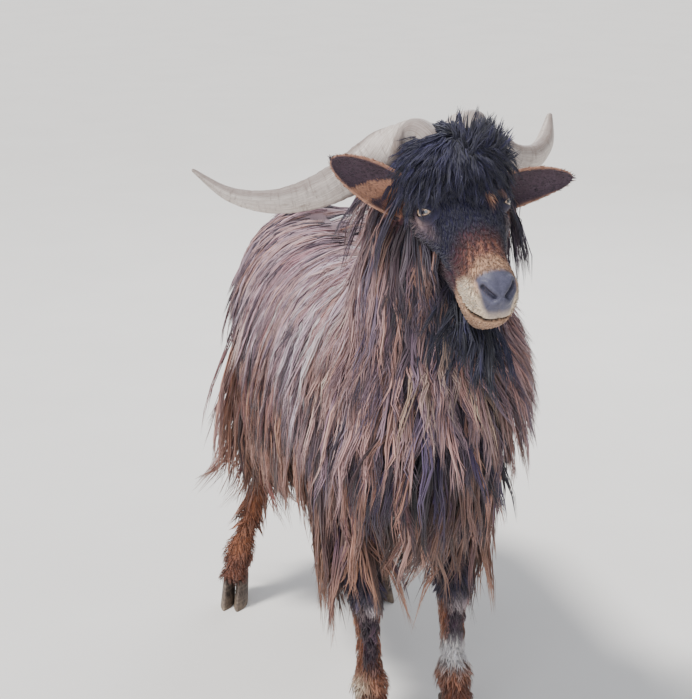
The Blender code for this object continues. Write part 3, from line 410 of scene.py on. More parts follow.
# %% The head's tube
# forward, top, bottom, half width, squareness, how much the jaw narrows
HEAD = [
    (-0.040, -0.028, -0.076, 0.026, 2.0, 0.00), (-0.024, -0.008, -0.108, 0.048, 2.1, 0.00),
    (0.015, 0.004, -0.126, 0.062, 2.3, 0.06), (0.060, 0.011, -0.128, 0.067, 2.5, 0.16),
    (0.100, 0.008, -0.122, 0.061, 2.4, 0.22), (0.138, -0.003, -0.114, 0.049, 2.2, 0.20),
    (0.175, -0.009, -0.110, 0.0380, 2.2, 0.14), (0.205, -0.010, -0.110, 0.0360, 2.3, 0.10),
    (0.228, -0.013, -0.105, 0.0325, 2.3, 0.10), (0.243, -0.028, -0.086, 0.020, 2.1, 0.05),
]
HEAD_RINGS, HEAD_SIDES = 170, 150


def head_form():
    share = np.linspace(0, 1, HEAD_RINGS)
    share = 1 - (1 - share) ** 1.45          # rings lie closer toward the muzzle
    rows = smooth_rows(HEAD, share)
    middle = (rows[:, 1] + rows[:, 2]) / 2
    ones = np.ones((HEAD_RINGS, 1))
    center = np.array(POLL) + rows[:, :1] * HEAD_TABLE[1] + middle[:, None] * HEAD_TABLE[2]
    half = (rows[:, 1] - rows[:, 2]) / 2 - SKIN_SINK
    return tube(
        center, ones * HEAD_TABLE[0], ones * HEAD_TABLE[2], rows[:, 3] - SKIN_SINK,
        half, half, rows[:, 4], HEAD_SIDES, (0.010, 0.006), rows[:, 5],
    )


# %% Places on the face
# side, forward, up; spread the same way; how far the skin moves out
SWELLINGS = {
    "brow": ((0.050, 0.080, 0.002), (0.020, 0.024, 0.011), 0.0055),
    "cheekbone": ((0.056, 0.112, -0.046), (0.020, 0.030, 0.008), 0.0040),
    "temple": ((0.056, 0.048, -0.010), (0.018, 0.016, 0.016), -0.0040),
    "cheek": ((0.050, 0.060, -0.085), (0.030, 0.034, 0.026), 0.0050),
    "cheek_hollow": ((0.044, 0.140, -0.066), (0.020, 0.026, 0.018), -0.0045),
    "nose_side": ((0.030, 0.160, -0.030), (0.014, 0.036, 0.010), -0.0018),
    "nose_bridge": ((0.000, 0.130, 0.004), (0.014, 0.050, 0.020), 0.0025),
    "upper_lip": ((0.026, 0.208, -0.046), (0.016, 0.020, 0.013), 0.0030),
    "chin": ((0.000, 0.216, -0.104), (0.018, 0.020, 0.014), 0.0016),
    "nose_tip": ((0.000, 0.240, -0.030), (0.016, 0.014, 0.012), 0.0020),
    "lip_cleft": ((0.000, 0.245, -0.054), (0.0016, 0.014, 0.012), -0.0016),
}
NOSTRIL = ((0.0215, 0.2270, -0.0215), (0.0085, 0.2400, -0.0290))
NOSTRIL_RIM, NOSTRIL_DEEP = 0.0022, 0.0075   # how far its rim stands out and its slit goes in
MOUTH_CORNER, MOUTH_HEIGHT, MOUTH_RISE = 0.172, -0.0640, 0.0080
LIP_SWELL, LIP_AWAY, MOUTH_DEEP = (0.0016, 0.0014), 0.006, 0.0050


def hump(value, middle, width):
    """1 where a value is at the middle, falling softly to 0 on both sides."""
    return np.exp(-(((value - middle) / width) ** 2))


def swell(place, name):
    spot, spread, height = SWELLINGS[name]
    off = (place - spot) / spread
    return height * np.exp(-(off**2).sum(1))


def to_line(points, start, end):
    """How far points lie from the line between two places, and how far along it."""
    start, end = np.array(start), np.array(end)
    way = end - start
    share = np.clip((points - start) @ way / (way @ way), 0, 1)
    return np.linalg.norm(points - start - share[:, None] * way, axis=1), share


def mouth_gap(place):
    """Height over the line between the lips, and how fully the mouth is open there."""
    back = np.clip((place[:, 1] - MOUTH_CORNER) / 0.070, 0, 1)
    line = MOUTH_HEIGHT + MOUTH_RISE * (1 - back) ** 1.6
    inside = 1 / (1 + np.exp(-(place[:, 1] - MOUTH_CORNER) / 0.003))
    return place[:, 2] - line, inside


def sculpt(bm):
    """Move the face's skin in and out at its named places."""
    bm.normal_update()
    world = np.array([v.co for v in bm.verts])
    normal = np.array([v.normal for v in bm.verts])
    place = head_place(world)
    place[:, 0] = np.abs(place[:, 0])
    move = sum(swell(place, name) for name in SWELLINGS)
    reach, share = to_line(place, *NOSTRIL)
    slit = 0.0021 + 0.0010 * share
    move += NOSTRIL_RIM * hump(reach, 0.0075, 0.0040)
    move -= NOSTRIL_DEEP * hump(reach, 0.0, slit)
    over, inside = mouth_gap(place)
    move += inside * LIP_SWELL[0] * hump(over, LIP_AWAY, 0.005)
    move += inside * LIP_SWELL[1] * hump(over, -LIP_AWAY, 0.005)
    move -= inside * MOUTH_DEEP * hump(over, 0.0, 0.0021)
    for vert, shifted in zip(bm.verts, world + normal * move[:, None]):
        vert.co = shifted
    return bm


head = make_object("head_form", sculpt(head_form()))
print("head", tri_count(head), "triangles")

# %% [markdown]
# ## Ears
# A goat's ear is a long leaf whose inner face is hollowed to a cup, with soft ridges inside
# and a thin rim. A grid is bent to the leaf, rolled more toward its root, and given its wall
# with the solidify operator, which closes the rim by itself. Both ears then join the head.

# %% Ear shells
EAR_LENGTH, EAR_WIDTH, EAR_WALL = 0.140, 0.058, 0.0036
EAR_ROOT = (0.0480, 0.030, -0.066)
EAR_AIM = {"left": (0.92, 0.05, 0.01), "right": (0.82, 0.16, 0.57)}
EAR_BURIED = 0.10                            # share of the length that lies in the head
EAR_RIDGE, EAR_CURL = 0.0012, 0.010
EAR_REACH, EAR_FOOT = 0.036, 0.10            # a point this near the ear's line, and past this share


def ear_frame(name):
    side = SIDES[name]
    a, b, c = EAR_AIM[name]
    way = aim(LEVEL_AXES, a * side, b, c)
    root = on_head(EAR_ROOT[0] * side, EAR_ROOT[1], EAR_ROOT[2])
    opening = aim(LEVEL_AXES, 0.0, 1.0, -0.25)
    opening = (opening - way * opening.dot(way)).normalized()
    return root, way, opening, way.cross(opening).normalized()


def ear_leaf(t):
    """The half width of the leaf at each share of its length, 1 at its widest."""
    leaf = np.sin(math.pi * (0.16 + 0.84 * np.clip(t, 0, 1)) ** 0.92)
    return np.maximum(np.abs(leaf) ** 0.54, 0.04)


def ear_form(name):
    root, way, opening, across = [np.array(v) for v in ear_frame(name)]

    def shape(along, over):
        t = along * (1 + EAR_BURIED) - EAR_BURIED
        u = over * 2 - 1
        half = EAR_WIDTH / 2 * ear_leaf(t)
        bend = np.radians(140.0 * (1.0 - np.clip(t, 0, 1)) ** 0.8 + 40.0)
        angle = u * bend / 2
        radius = half / np.sin(np.minimum(bend / 2, math.pi / 2))
        ridges = EAR_RIDGE * np.sin(u * 9.0) * hump(t, 0.30, 0.26) * (1 - u**2)
        deep = radius * (1 - np.cos(angle)) + ridges
        curl = np.sin(math.pi * np.clip(t, 0, 1)) - np.clip(t - 0.7, 0, 1) ** 1.5
        place = root + way * (EAR_LENGTH * t)[:, None] - opening * (EAR_CURL * curl)[:, None]
        return place + across * (radius * np.sin(angle))[:, None] + opening * deep[:, None]

    bm = grid_sheet(44, 22, shape, merge=False)
    bmesh.ops.solidify(bm, geom=bm.faces, thickness=EAR_WALL)
    face_outward(bm)
    return bm


# %% One skin, with its joins smoothed
def surface_tree(obj):
    return BVHTree.FromPolygons(
        [v.co.copy() for v in obj.data.vertices], [tuple(p.vertices) for p in obj.data.polygons]
    )


def soften_joins(obj, forms, reach, rounds):
    """Smooth the skin only near the lines where two forms cross."""
    bm = bmesh.new()
    bm.from_mesh(obj.data)
    near = []
    for vert in bm.verts:
        gaps = sorted(tree.find_nearest(vert.co)[3] for tree in forms)
        if gaps[1] < reach:
            near.append(vert)
    for _ in range(rounds):
        bmesh.ops.smooth_vert(
            bm, verts=near, factor=0.5, use_axis_x=True, use_axis_y=True, use_axis_z=True
        )
    face_outward(bm)
    bm.to_mesh(obj.data)
    bm.free()
    return len(near)


MOUND_PLACE, MOUND_SIZE = (0.002, 0.034, 0.002), (0.054, 0.050, 0.036)
JOIN_REACH, JOIN_ROUNDS = 0.007, 8


def crown_mound():
    """The swell of the crown, from which the forelock springs."""
    bm = bmesh.new()
    bmesh.ops.create_uvsphere(bm, u_segments=64, v_segments=40, radius=1.0)
    stretch = Matrix.Diagonal((*MOUND_SIZE, 1.0))
    turn = Matrix(HEAD_AXES).transposed().to_4x4()
    bm.transform(Matrix.Translation(on_head(*MOUND_PLACE)) @ turn @ stretch)
    face_outward(bm)
    return bm


forms = [surface_tree(skin), surface_tree(head)]
ears = [make_object("ear_form", ear_form(name)) for name in SIDES]
crown = make_object("crown_form", crown_mound())
forms += [surface_tree(ear) for ear in ears + [crown]]
fuse(skin, [head] + ears + [crown])
softened = soften_joins(skin, forms, JOIN_REACH, JOIN_ROUNDS)
print("skin", tri_count(skin), "triangles,", softened, "corners softened at the joins")
skin_tree = surface_tree(skin)

# %% [markdown]
# ## Eyes
# A goat's eye stands at the side of the head: a ball with an amber-grey iris that nearly
# fills the opening, and a dark pupil that lies level. The ball is a sphere of its own, with
# a wet coat. The lids are a fine ring of rows round the almond opening. Its inner edge turns
# in against the ball, then it lies over the ball with a fold, and its outer edge sinks into
# the skin. The skin itself is drawn back behind the ball so that it doesn't show through.

# %% The eye's own directions
EYE_FACING = (0.90, 0.25, 0.29)
EYE_ALONG = (0.0, 0.68, 0.70)                # the opening runs between forward and up
OPEN_WIDE, OPEN_UP, OPEN_DOWN = 0.0132, 0.0056, 0.0056
GAZE_AHEAD = 0.34                            # the pupil looks ahead of the opening's middle
LID_WALL, CORNEA = 0.0014, 0.0007            # the lid's wall, and how far the clear front rises
LID_SPREAD = (0.0250, 0.0200)                # half width and half height of the lids' skin
LID_TUCK = 0.12                              # share of the rows that turn in against the ball
LID_SOFT = 0.0035                            # how softly the lid leaves the ball for the face
EYE_HOLLOW = -0.004                          # the skin sinks this deep behind the ball
HOLLOW_REACH, HOLLOW_FADE = 0.84, 0.14       # shares of the lids' spread


def eye_frame(name):
    side = SIDES[name]
    center = on_head(EYE_PLACE[0] * side, EYE_PLACE[1], EYE_PLACE[2])
    out = aim(HEAD_AXES, EYE_FACING[0] * side, EYE_FACING[1], EYE_FACING[2])
    along = aim(HEAD_AXES, *EYE_ALONG)
    along = (along - out * out.dot(along)).normalized()
    above = out.cross(along) * side
    if above.dot(HEAD_AXES[2]) < 0:
        above = -above
    return center, out, along, above


def lid_form(name):
    """Rows from the wet edge to the brow, round the opening."""
    center, out, along, above = eye_frame(name)

    def shape(row, turn):
        a = 2 * math.pi * turn
        c, s = np.cos(a), np.sin(a)
        r = np.clip((row - LID_TUCK) / (1 - LID_TUCK), 0, 1)
        edge_x = OPEN_WIDE * c
        edge_y = np.where(s > 0, OPEN_UP, OPEN_DOWN) * np.sign(s) * np.abs(s) ** 1.35
        spread = r**1.15
        x = edge_x * (1 - spread) + LID_SPREAD[0] * c * spread
        y = edge_y * (1 - spread) + LID_SPREAD[1] * s * spread
        tuck = np.clip(1 - row / LID_TUCK, 0, 1)
        x, y = x * (1 - 0.10 * tuck), y * (1 - 0.16 * tuck)
        round_ = EYE_RADIUS + LID_WALL - tuck * (LID_WALL + 0.0008)
        ball = np.sqrt(np.maximum(round_**2 - x**2 - y**2, 0.0))
        fold = hump(r, 0.34, 0.05) * np.clip(s, 0, 1)
        low_fold = hump(r, 0.42, 0.06) * np.clip(-s, 0, 1)
        rim = hump(r, 0.08, 0.06) * (1 - tuck)
        places = []
        for k in range(len(row)):
            side_step = along * x[k] + above * y[k]
            start = center + side_step + out * 0.06
            hit = skin_tree.ray_cast(start, -out, 0.08)[0]
            ground = (hit - center).dot(out) if hit is not None else EYE_HOLLOW
            gap = (ball[k] - ground) / LID_SOFT
            high = ground + LID_SOFT * math.log1p(math.exp(min(gap, 30.0)))
            high -= LID_SOFT * 0.69 * math.exp(-(gap**2)) * (1 - r[k])
            near = min(1.0, r[k] / 0.25)
            deep = ball[k] * (1 - near) + high * near
            deep += 0.0005 * rim[k] - 0.0013 * fold[k] - 0.0008 * low_fold[k]
            deep -= 0.0045 * max(0.0, (r[k] - 0.86) / 0.14) ** 2
            places.append(center + side_step + out * deep)
        return places

    bm = grid_sheet(34, 88, shape)
    if sum(f.normal.dot(out) * f.calc_area() for f in bm.faces) < 0:
        bmesh.ops.reverse_faces(bm, faces=bm.faces)
    return bm


def draw_back(obj, name):
    """Sink the skin behind the eyeball, inside the lids' outer edge."""
    center, out, along, above = eye_frame(name)
    for vert in obj.data.vertices:
        off = vert.co - center
        depth = off.dot(out)
        if off.length > 0.045 or depth < EYE_HOLLOW:
            continue
        reach = math.hypot(off.dot(along) / LID_SPREAD[0], off.dot(above) / LID_SPREAD[1])
        if reach < HOLLOW_REACH:
            share = min(1.0, (HOLLOW_REACH - reach) / HOLLOW_FADE)
            vert.co += out * ((EYE_HOLLOW + 0.002 * reach - depth) * share)


def eyeball(name):
    """A ball with a raised clear front; it remembers where its gaze is."""
    center, out, along, above = eye_frame(name)
    out = (out + along * GAZE_AHEAD).normalized()
    along = (along - out * out.dot(along)).normalized()
    bm = bmesh.new()
    bmesh.ops.create_uvsphere(bm, u_segments=56, v_segments=36, radius=EYE_RADIUS)
    for vert in bm.verts:
        front = max(0.0, vert.co.z / EYE_RADIUS - 0.62) / 0.38
        vert.co.z += CORNEA * front
    turned = Matrix((along, above, out)).transposed()
    seen = [[c / EYE_RADIUS for c in v.co] for v in bm.verts]
    bm.transform(Matrix.Translation(center) @ turned.to_4x4())
    face_outward(bm)
    steady_order(bm)
    eye = make_object("eye_" + name + "_ball", bm)
    gaze = eye.data.attributes.new("gaze", "FLOAT_VECTOR", "POINT")
    gaze.data.foreach_set("vector", np.array(seen, np.float32).ravel())
    return eye


# %% Make the eyes
eyelids, eyeballs = [], []
for name in SIDES:
    eyelids.append(make_object("eyelids_" + name, lid_form(name)))
    eyeballs.append(eyeball(name))
for name in SIDES:
    draw_back(skin, name)
skin.data.update()
print("lids", [tri_count(lid) for lid in eyelids])

# %% [markdown]
# ## Horns
# The horns rise from the crown, sweep out and back and end in upturned tips. They are flat
# in section, turn about their own length, and carry growth rings that lie close near the
# root and fade toward the tip. Each is a tube whose rings are swelled by those growth rings,
# with a keel along one edge. The keratin's fine lines come from its finish.

# %% Horn tubes
# out to the side, back, up, broad half, thin half, twist in degrees, sway to the right
HORN = [
    (0.029, -0.008, -0.030, 0.036, 0.021, 0.0, 0.000),
    (0.027, 0.000, 0.004, 0.035, 0.022, 8.0, 0.000),
    (0.036, 0.020, 0.016, 0.032, 0.021, 45.0, 0.000),
    (0.062, 0.043, 0.001, 0.030, 0.018, 95.0, 0.002),
    (0.101, 0.064, -0.030, 0.0285, 0.0165, 140.0, 0.006),
    (0.145, 0.080, -0.053, 0.0255, 0.0150, 165.0, 0.014),
    (0.191, 0.096, -0.060, 0.0200, 0.0120, 178.0, 0.024),
    (0.233, 0.116, -0.046, 0.0125, 0.0085, 185.0, 0.034),
    (0.264, 0.141, -0.013, 0.0035, 0.0026, 190.0, 0.042),
]
HORN_RINGS, HORN_SIDES = 260, 56
STOUT_TIP = 0.65                             # how much stouter the left horn's tip is
STOUT_FROM, STOUT_OVER = 0.62, 0.30          # shares of its length
RING_GAP, RING_HIGH = 0.0115, 0.0012         # between growth rings, and their height


def horn_form(name):
    side = SIDES[name]
    share = np.linspace(0, 1, HORN_RINGS)
    rows = smooth_rows(HORN, share)
    toward_tip = np.clip((share[:, None] - STOUT_FROM) / STOUT_OVER, 0, 1)
    rows[:, 3:5] *= 1 + STOUT_TIP * (side > 0) * toward_tip
    level = np.array([list(a) for a in LEVEL_AXES])
    center = np.array(POLL) + (rows[:, :1] * side - rows[:, 6:7]) * level[0]
    center = center - rows[:, 1:2] * level[1] + rows[:, 2:3] * level[2]
    along = unit(np.gradient(center, axis=0))
    steady = unit(level[1] * 0.6 + level[2] * 0.8)
    broad = unit(steady - along * (along @ steady)[:, None])
    thin = np.cross(along, broad) * side
    twist = np.radians(rows[:, 5:6])
    ring_broad = broad * np.cos(twist) + thin * np.sin(twist)
    ring_thin = thin * np.cos(twist) - broad * np.sin(twist)
    length = np.concatenate([[0], np.cumsum(np.linalg.norm(np.diff(center, axis=0), axis=1))])
    wave = length / RING_GAP + 0.9 * np.sin(length / 0.031) + 0.5 * np.sin(length / 0.013 + 1)
    groove = np.abs(np.sin(wave * math.pi / 2)) ** 0.6 - 0.7
    minor = 0.3 * np.sin(wave * 7.0)
    ripple = (groove + minor) * RING_HIGH * np.clip(1.15 - share * 1.1, 0.1, 1)
    tube_form = tube(
        center, ring_thin, ring_broad, rows[:, 4] + ripple, (rows[:, 3] + ripple) * 1.06,
        (rows[:, 3] + ripple * 1.4) * 0.94, np.full(HORN_RINGS, 1.9), HORN_SIDES, (0.003, 0.004),
    )
    return tube_form, center, ring_broad, ring_thin, length


def horn(name):
    bm, center, broad, thin, length = horn_form(name)
    obj = make_object("horn_" + name + "_ringed", bm)
    places = np.array([v.co for v in obj.data.vertices])
    lines = np.zeros((len(places), 3), np.float32)
    for start in range(0, len(places), 4000):
        part = places[start:start + 4000]
        gap = ((part[:, None] - center[None]) ** 2).sum(2)
        near = gap.argmin(1)
        off = part - center[near]
        rim = np.arctan2((off * thin[near]).sum(1), (off * broad[near]).sum(1))
        lines[start:start + 4000] = np.stack([length[near], np.cos(rim), np.sin(rim)], 1)
    grain = obj.data.attributes.new("grain", "FLOAT_VECTOR", "POINT")
    grain.data.foreach_set("vector", lines.ravel())
    return obj


horns = [horn(name) for name in SIDES]
print("horns", [tri_count(h) for h in horns])

# %% [markdown]
# ## Hooves
# Each foot ends in two claws with flat soles, sloping toes and rounded heels. They are made
# like the solids but finer: a tube of rings from sole to hairline, squeezed flat where the
# two claws face each other, with faint growth rings. Two small dewclaws hang behind each
# fetlock, half hidden in hair.

# %% Claws and dewclaws
HOOF_TURN = {"fore_left": 4.0, "fore_right": -4.0, "hind_left": 8.0, "hind_right": -24.0}
HOOF_HIGH, HOOF_LONG, HOOF_WIDE = 0.047, 0.064, 0.0225
HOOF_CAP, CLAW_GAP = 0.12, 0.0006            # share of the rings in each end; half the cleft
DEWCLAW = 0.0085


def claw(foot, which):
    side = SIDES[foot.split("_")[1]]
    turn = np.array(Matrix.Rotation(math.radians(HOOF_TURN[foot]), 3, "Z"))
    middle = np.array((HOOF_OUT[foot] * side, HOOF_BACK[foot], 0.0)) + SHIFT_ROW
    offset = which * (HOOF_WIDE / 2 + CLAW_GAP)

    def shape(up, around):
        level = np.clip((up - HOOF_CAP) / (1 - 2 * HOOF_CAP), 0, 1)
        inner = np.clip(1 - np.maximum(HOOF_CAP - up, up - 1 + HOOF_CAP) / HOOF_CAP, 0, 1)
        angle = 2 * math.pi * around
        x, y = np.cos(angle), np.sin(angle)
        size = 1.0 - 0.16 * level + 0.008 * np.sin(level * 38.0)
        size = size * np.where(inner < 1, inner**0.5, 1)
        squeeze = 1.0 - 0.42 * np.maximum(-y, 0.0) ** 2
        lateral = offset + x * HOOF_WIDE / 2 * size * squeeze
        lateral = np.where(lateral * which < CLAW_GAP, CLAW_GAP * which, lateral)
        long_ = y * HOOF_LONG / 2 * size + 0.020 * level
        high = HOOF_HIGH * level + 0.002 * (1 - inner) * np.where(up > 0.5, 1, 0)
        return middle + np.stack([lateral, long_, high], 1) @ turn.T

    return grid_sheet(36, 44, shape)


def dewclaws(foot):
    """Two small horny lobes behind the fetlock."""
    bm = bmesh.new()
    row = leg_stations(foot)[-3]
    for which in (-1, 1):
        ball = bmesh.ops.create_uvsphere(bm, u_segments=16, v_segments=12, radius=DEWCLAW)
        spot = Vector((row[0] + 0.011 * which, row[1] + 0.020, row[2] - 0.014)) + SHIFT
        shape = Matrix.Translation(spot) @ Matrix.Rotation(math.radians(28), 4, "X")
        shape = shape @ Matrix.Diagonal((0.7, 0.8, 1.4, 1))
        bmesh.ops.transform(bm, verts=ball["verts"], matrix=shape)
    steady_order(bm)
    return bm


WHICH = {"left": 1, "right": -1}
hooves = {}
for foot in FEET:
    for which in WHICH:
        hooves[f"hoof_{foot}_{which}"] = make_object(f"claw_{foot}_{which}", claw(foot, WHICH[which]))
lobes = [make_object(f"dewclaws_{foot}", dewclaws(foot)) for foot in FEET]
print("claws", len(hooves), "dewclaw pairs", len(lobes))

# %% [markdown]
# ## Where the colours lie
# The skin and the hair that grows from it must carry the same marks, or the skin would show
# through as a second animal. One function therefore gives the colour at any place, and both
# read it. A mark is a named tint, laid on by a soft mask round a place of the body: black
# crown and chest, chestnut sides, a tan muzzle, rust legs with a black stripe, one white band.
# Some marks are painted light: a pale sheen on the back, the right shoulder and under the eyes,
# and painted shade in the nostrils, in the crease of the mouth and on the chest toward the
# goat's left. Painting by rule rather than from a picture keeps the marks sharp at any distance
# and holds them on every side, also on those the camera doesn't see.

# %% Tints and soft masks
def tint(red, green, blue):
    """A screen colour from 0 to 255 as the amounts of light that a shader uses."""
    share = np.array((red, green, blue)) / 255.0
    return np.where(share <= 0.04045, share / 12.92, ((share + 0.055) / 1.055) ** 2.4)


# painted_sheen is painted light: a pale silvery sheen laid where the sun and the sky light the coat
# from above.
TINTS = {
    "chestnut": tint(146, 86, 82), "umber": tint(82, 48, 52), "soot": tint(34, 32, 60),
    "navy": tint(48, 45, 90), "painted_sheen": tint(240, 208, 218), "tan": tint(228, 170, 136),
    "rust": tint(164, 106, 76), "cream": tint(255, 232, 200), "orange": tint(190, 132, 104),
    "slate": tint(86, 85, 102), "white": tint(254, 252, 248), "ash_and_sheen": tint(98, 80, 94),
    "muzzle": tint(202, 162, 130), "lid": tint(186, 158, 150), "wet": tint(22, 16, 20),
    "blond": tint(186, 156, 128), "inner_ear": tint(88, 72, 82), "knee": tint(176, 164, 166),
}


def step(value, low, high):
    """From 0 below low to 1 above high, eased."""
    t = np.clip((value - low) / (high - low), 0, 1)
    return t * t * (3 - 2 * t)


def near(place, spot, spread):
    return np.exp(-(((place - np.array(spot)) / np.array(spread)) ** 2).sum(1))


def cloud(points, size, seed):
    """A soft random number from -1 to 1 that changes over the given distance."""
    draw = np.random.default_rng(seed)
    total = np.zeros(len(points))
    for _ in range(5):
        way = unit(draw.normal(size=3)) / size * draw.uniform(0.7, 1.6)
        total += np.sin(points @ way * 2 * math.pi + draw.uniform(0, 6.28))
    return np.clip(total / 3.0, -1, 1)


def lay(colors, name, mask):
    mask = np.clip(mask, 0, 1)[:, None]
    return colors * (1 - mask) + TINTS[name] * mask


def lay_all(colors, marks):
    """Lay tints one over another, each by its own mask."""
    for name, mask in marks:
        colors = lay(colors, name, mask)
    return colors


# %% Where ears, legs, neck and tail begin
LEG_TOP = 0.335
NECK_BACK, NECK_FOOT = 0.060, 0.590          # the neck lies ahead of this and above this
TAIL_FRONT, TAIL_LOW = 0.640, 0.60


def along_ear(points, name):
    """Share of the ear's length, gap from its middle line, place across it and toward its cup."""
    root, way, opening, across = [np.array(v) for v in ear_frame(name)]
    off = points - root
    gap = np.linalg.norm(off - np.outer(off @ way, way), axis=1)
    return off @ way / EAR_LENGTH, gap, off @ across, off @ opening


def ear_share(points):
    """How far points lie out along an ear, or below 0 where they aren't on one."""
    best = np.full(len(points), -1.0)
    for name in SIDES:
        out, gap = along_ear(points, name)[:2]
        best = np.where((gap < EAR_REACH) & (out > EAR_FOOT) & (out < 1.2), out, best)
    return best


def ear_rim(points):
    """1 along the thin edge of an ear, 0 over the rest of it."""
    rim = np.zeros(len(points))
    for name in SIDES:
        out, _, across, cup = along_ear(points, name)
        half = EAR_WIDTH / 2 * ear_leaf(out)
        inside = (np.abs(cup) < 0.03) & (np.abs(across) < 0.04)
        rim = np.maximum(rim, inside * step(np.abs(across) / half, 0.80, 0.94))
    return rim


def leg_axis(foot, z):
    """The middle line of a leg at each height, and its half depth there."""
    rows = np.array(leg_stations(foot))
    rows = rows[np.argsort(rows[:, 2])]
    return [np.interp(z, rows[:, 2], rows[:, column]) for column in (0, 1, 4)]


def leg_axis_side(points):
    """For points on the legs: how far they lie toward the front of the leg, -1 to 1."""
    front = np.zeros(len(points))
    best = np.full(len(points), 9.0)
    layout = laid_out(points)
    for foot in FEET:
        x, y, deep = leg_axis(foot, layout[:, 2])
        gap = np.hypot(layout[:, 0] - x, layout[:, 1] - y)
        front = np.where(gap < best, (y - layout[:, 1]) / deep, front)
        best = np.minimum(best, gap)
    return np.clip(front, -1.5, 1.5)


def on_head_zone(points):
    place = head_place(points)
    inside = (place[:, 1] > -0.030) & (np.abs(place[:, 0]) < 0.080)
    return inside & (place[:, 2] > -0.140) & (place[:, 2] < 0.040)


# %% The marks
KNEE_CURTAIN = (0.064, -0.06, 0.42)          # black hair that hangs over the left knee
KNEE_SPREAD = (0.034, 0.12, 0.09)


def body_marks(points):
    d = laid_out(points)
    x, y, z = d.T
    colors = np.tile(TINTS["chestnut"], (len(d), 1))
    # Painted sheen: the top of the body is painted paler and silvery, as the sun lights it from
    # above; it is weaker at the front on the goat's left.
    sheen = step(z, 0.52, 0.66) * (1 - 0.6 * step(0.05 - y, 0.0, 0.08) * step(x, -0.05, 0.03))
    neck = step(0.010 - y - 0.35 * (z - 0.66), 0.0, 0.05)
    return lay_all(colors, (
        ("umber", 0.35 + 0.45 * cloud(d, 0.09, 3)),
        ("painted_sheen", 0.85 * sheen * (0.70 + 0.6 * cloud(d, 0.06, 4))),
        ("orange", 0.40 * step(cloud(d, 0.08, 5), 0.1, 0.8) * step(0.66 - z, 0.0, 0.10)),
        ("soot", 0.75 * near(d, (-0.075, 0.46, 0.70), (0.06, 0.05, 0.05))),
        ("navy", 0.60 * near(d, (0.01, 0.20, 0.73), (0.06, 0.07, 0.05))),
        ("umber", 0.75 * neck),
        ("navy", 0.75 * neck * step(cloud(d, 0.05, 7), -0.40, 0.30)),
        ("tan", 0.75 * near(d, (-0.095, -0.010, 0.70), (0.030, 0.035, 0.11))),
        # The black chest, with painted shade toward the goat's left, where the head shades the neck
        # and chest.
        ("soot", 0.75 * near(d, (0.045, -0.13, 0.60), (0.05, 0.08, 0.13))),
        ("umber", 0.75 * step(0.56 - z, 0, 0.08) * step(cloud(d, 0.06, 9), -0.5, 0.5)),
        ("soot", 0.60 * step(0.42 - z, 0, 0.08) * step(cloud(d, 0.05, 6), -0.2, 0.6)),
        # Painted highlight: a pale silvery patch on the goat's right shoulder, where the sun lights
        # it.
        ("painted_sheen", 0.55 * near(d, (-0.100, 0.07, 0.67), (0.05, 0.09, 0.05))),
        ("soot", 0.40 * near(d, (-0.03, -0.06, 0.37), (0.06, 0.09, 0.07))),
        ("soot", 1.3 * near(d, KNEE_CURTAIN, KNEE_SPREAD)),
    ))


def leg_marks(points, colors):
    d = laid_out(points)
    x, y, z = d.T
    low = step(LEG_TOP - z, 0.0, 0.03) * (np.abs(x) > 0.02)
    front = leg_axis_side(points)
    fore = y < 0.25
    below = step(0.235 - z, 0.0, 0.03)
    stripe = step(front, 0.46, 0.80) * step(z, 0.100, 0.150)
    return lay_all(colors, (
        ("soot", low * fore * 0.85),
        ("rust", low * ~fore * 0.8),
        ("rust", below),
        ("umber", below * fore * stripe),
        ("soot", below * fore * stripe * 0.55),
        ("umber", below * ~fore * step(-front, 0.1, 0.8) * 0.8),
        ("tan", below * fore * step(-front, 0.0, 0.7) * 0.45),
        ("knee", near(d, (-0.063, -0.026, 0.226), (0.013, 0.014, 0.012)) * 1.2),
        ("knee", near(d, (0.071, -0.026, 0.220), (0.013, 0.014, 0.012)) * 1.2),
        ("umber", step(0.100 - z, 0.0, 0.02) * 0.45),
        ("cream", near(d, (-0.078, -0.010, 0.096), (0.012, 0.024, 0.014))),
        ("white", near(d, (0.070, -0.010, 0.133), (0.026, 0.034, 0.019)) * 2.0),
    ))


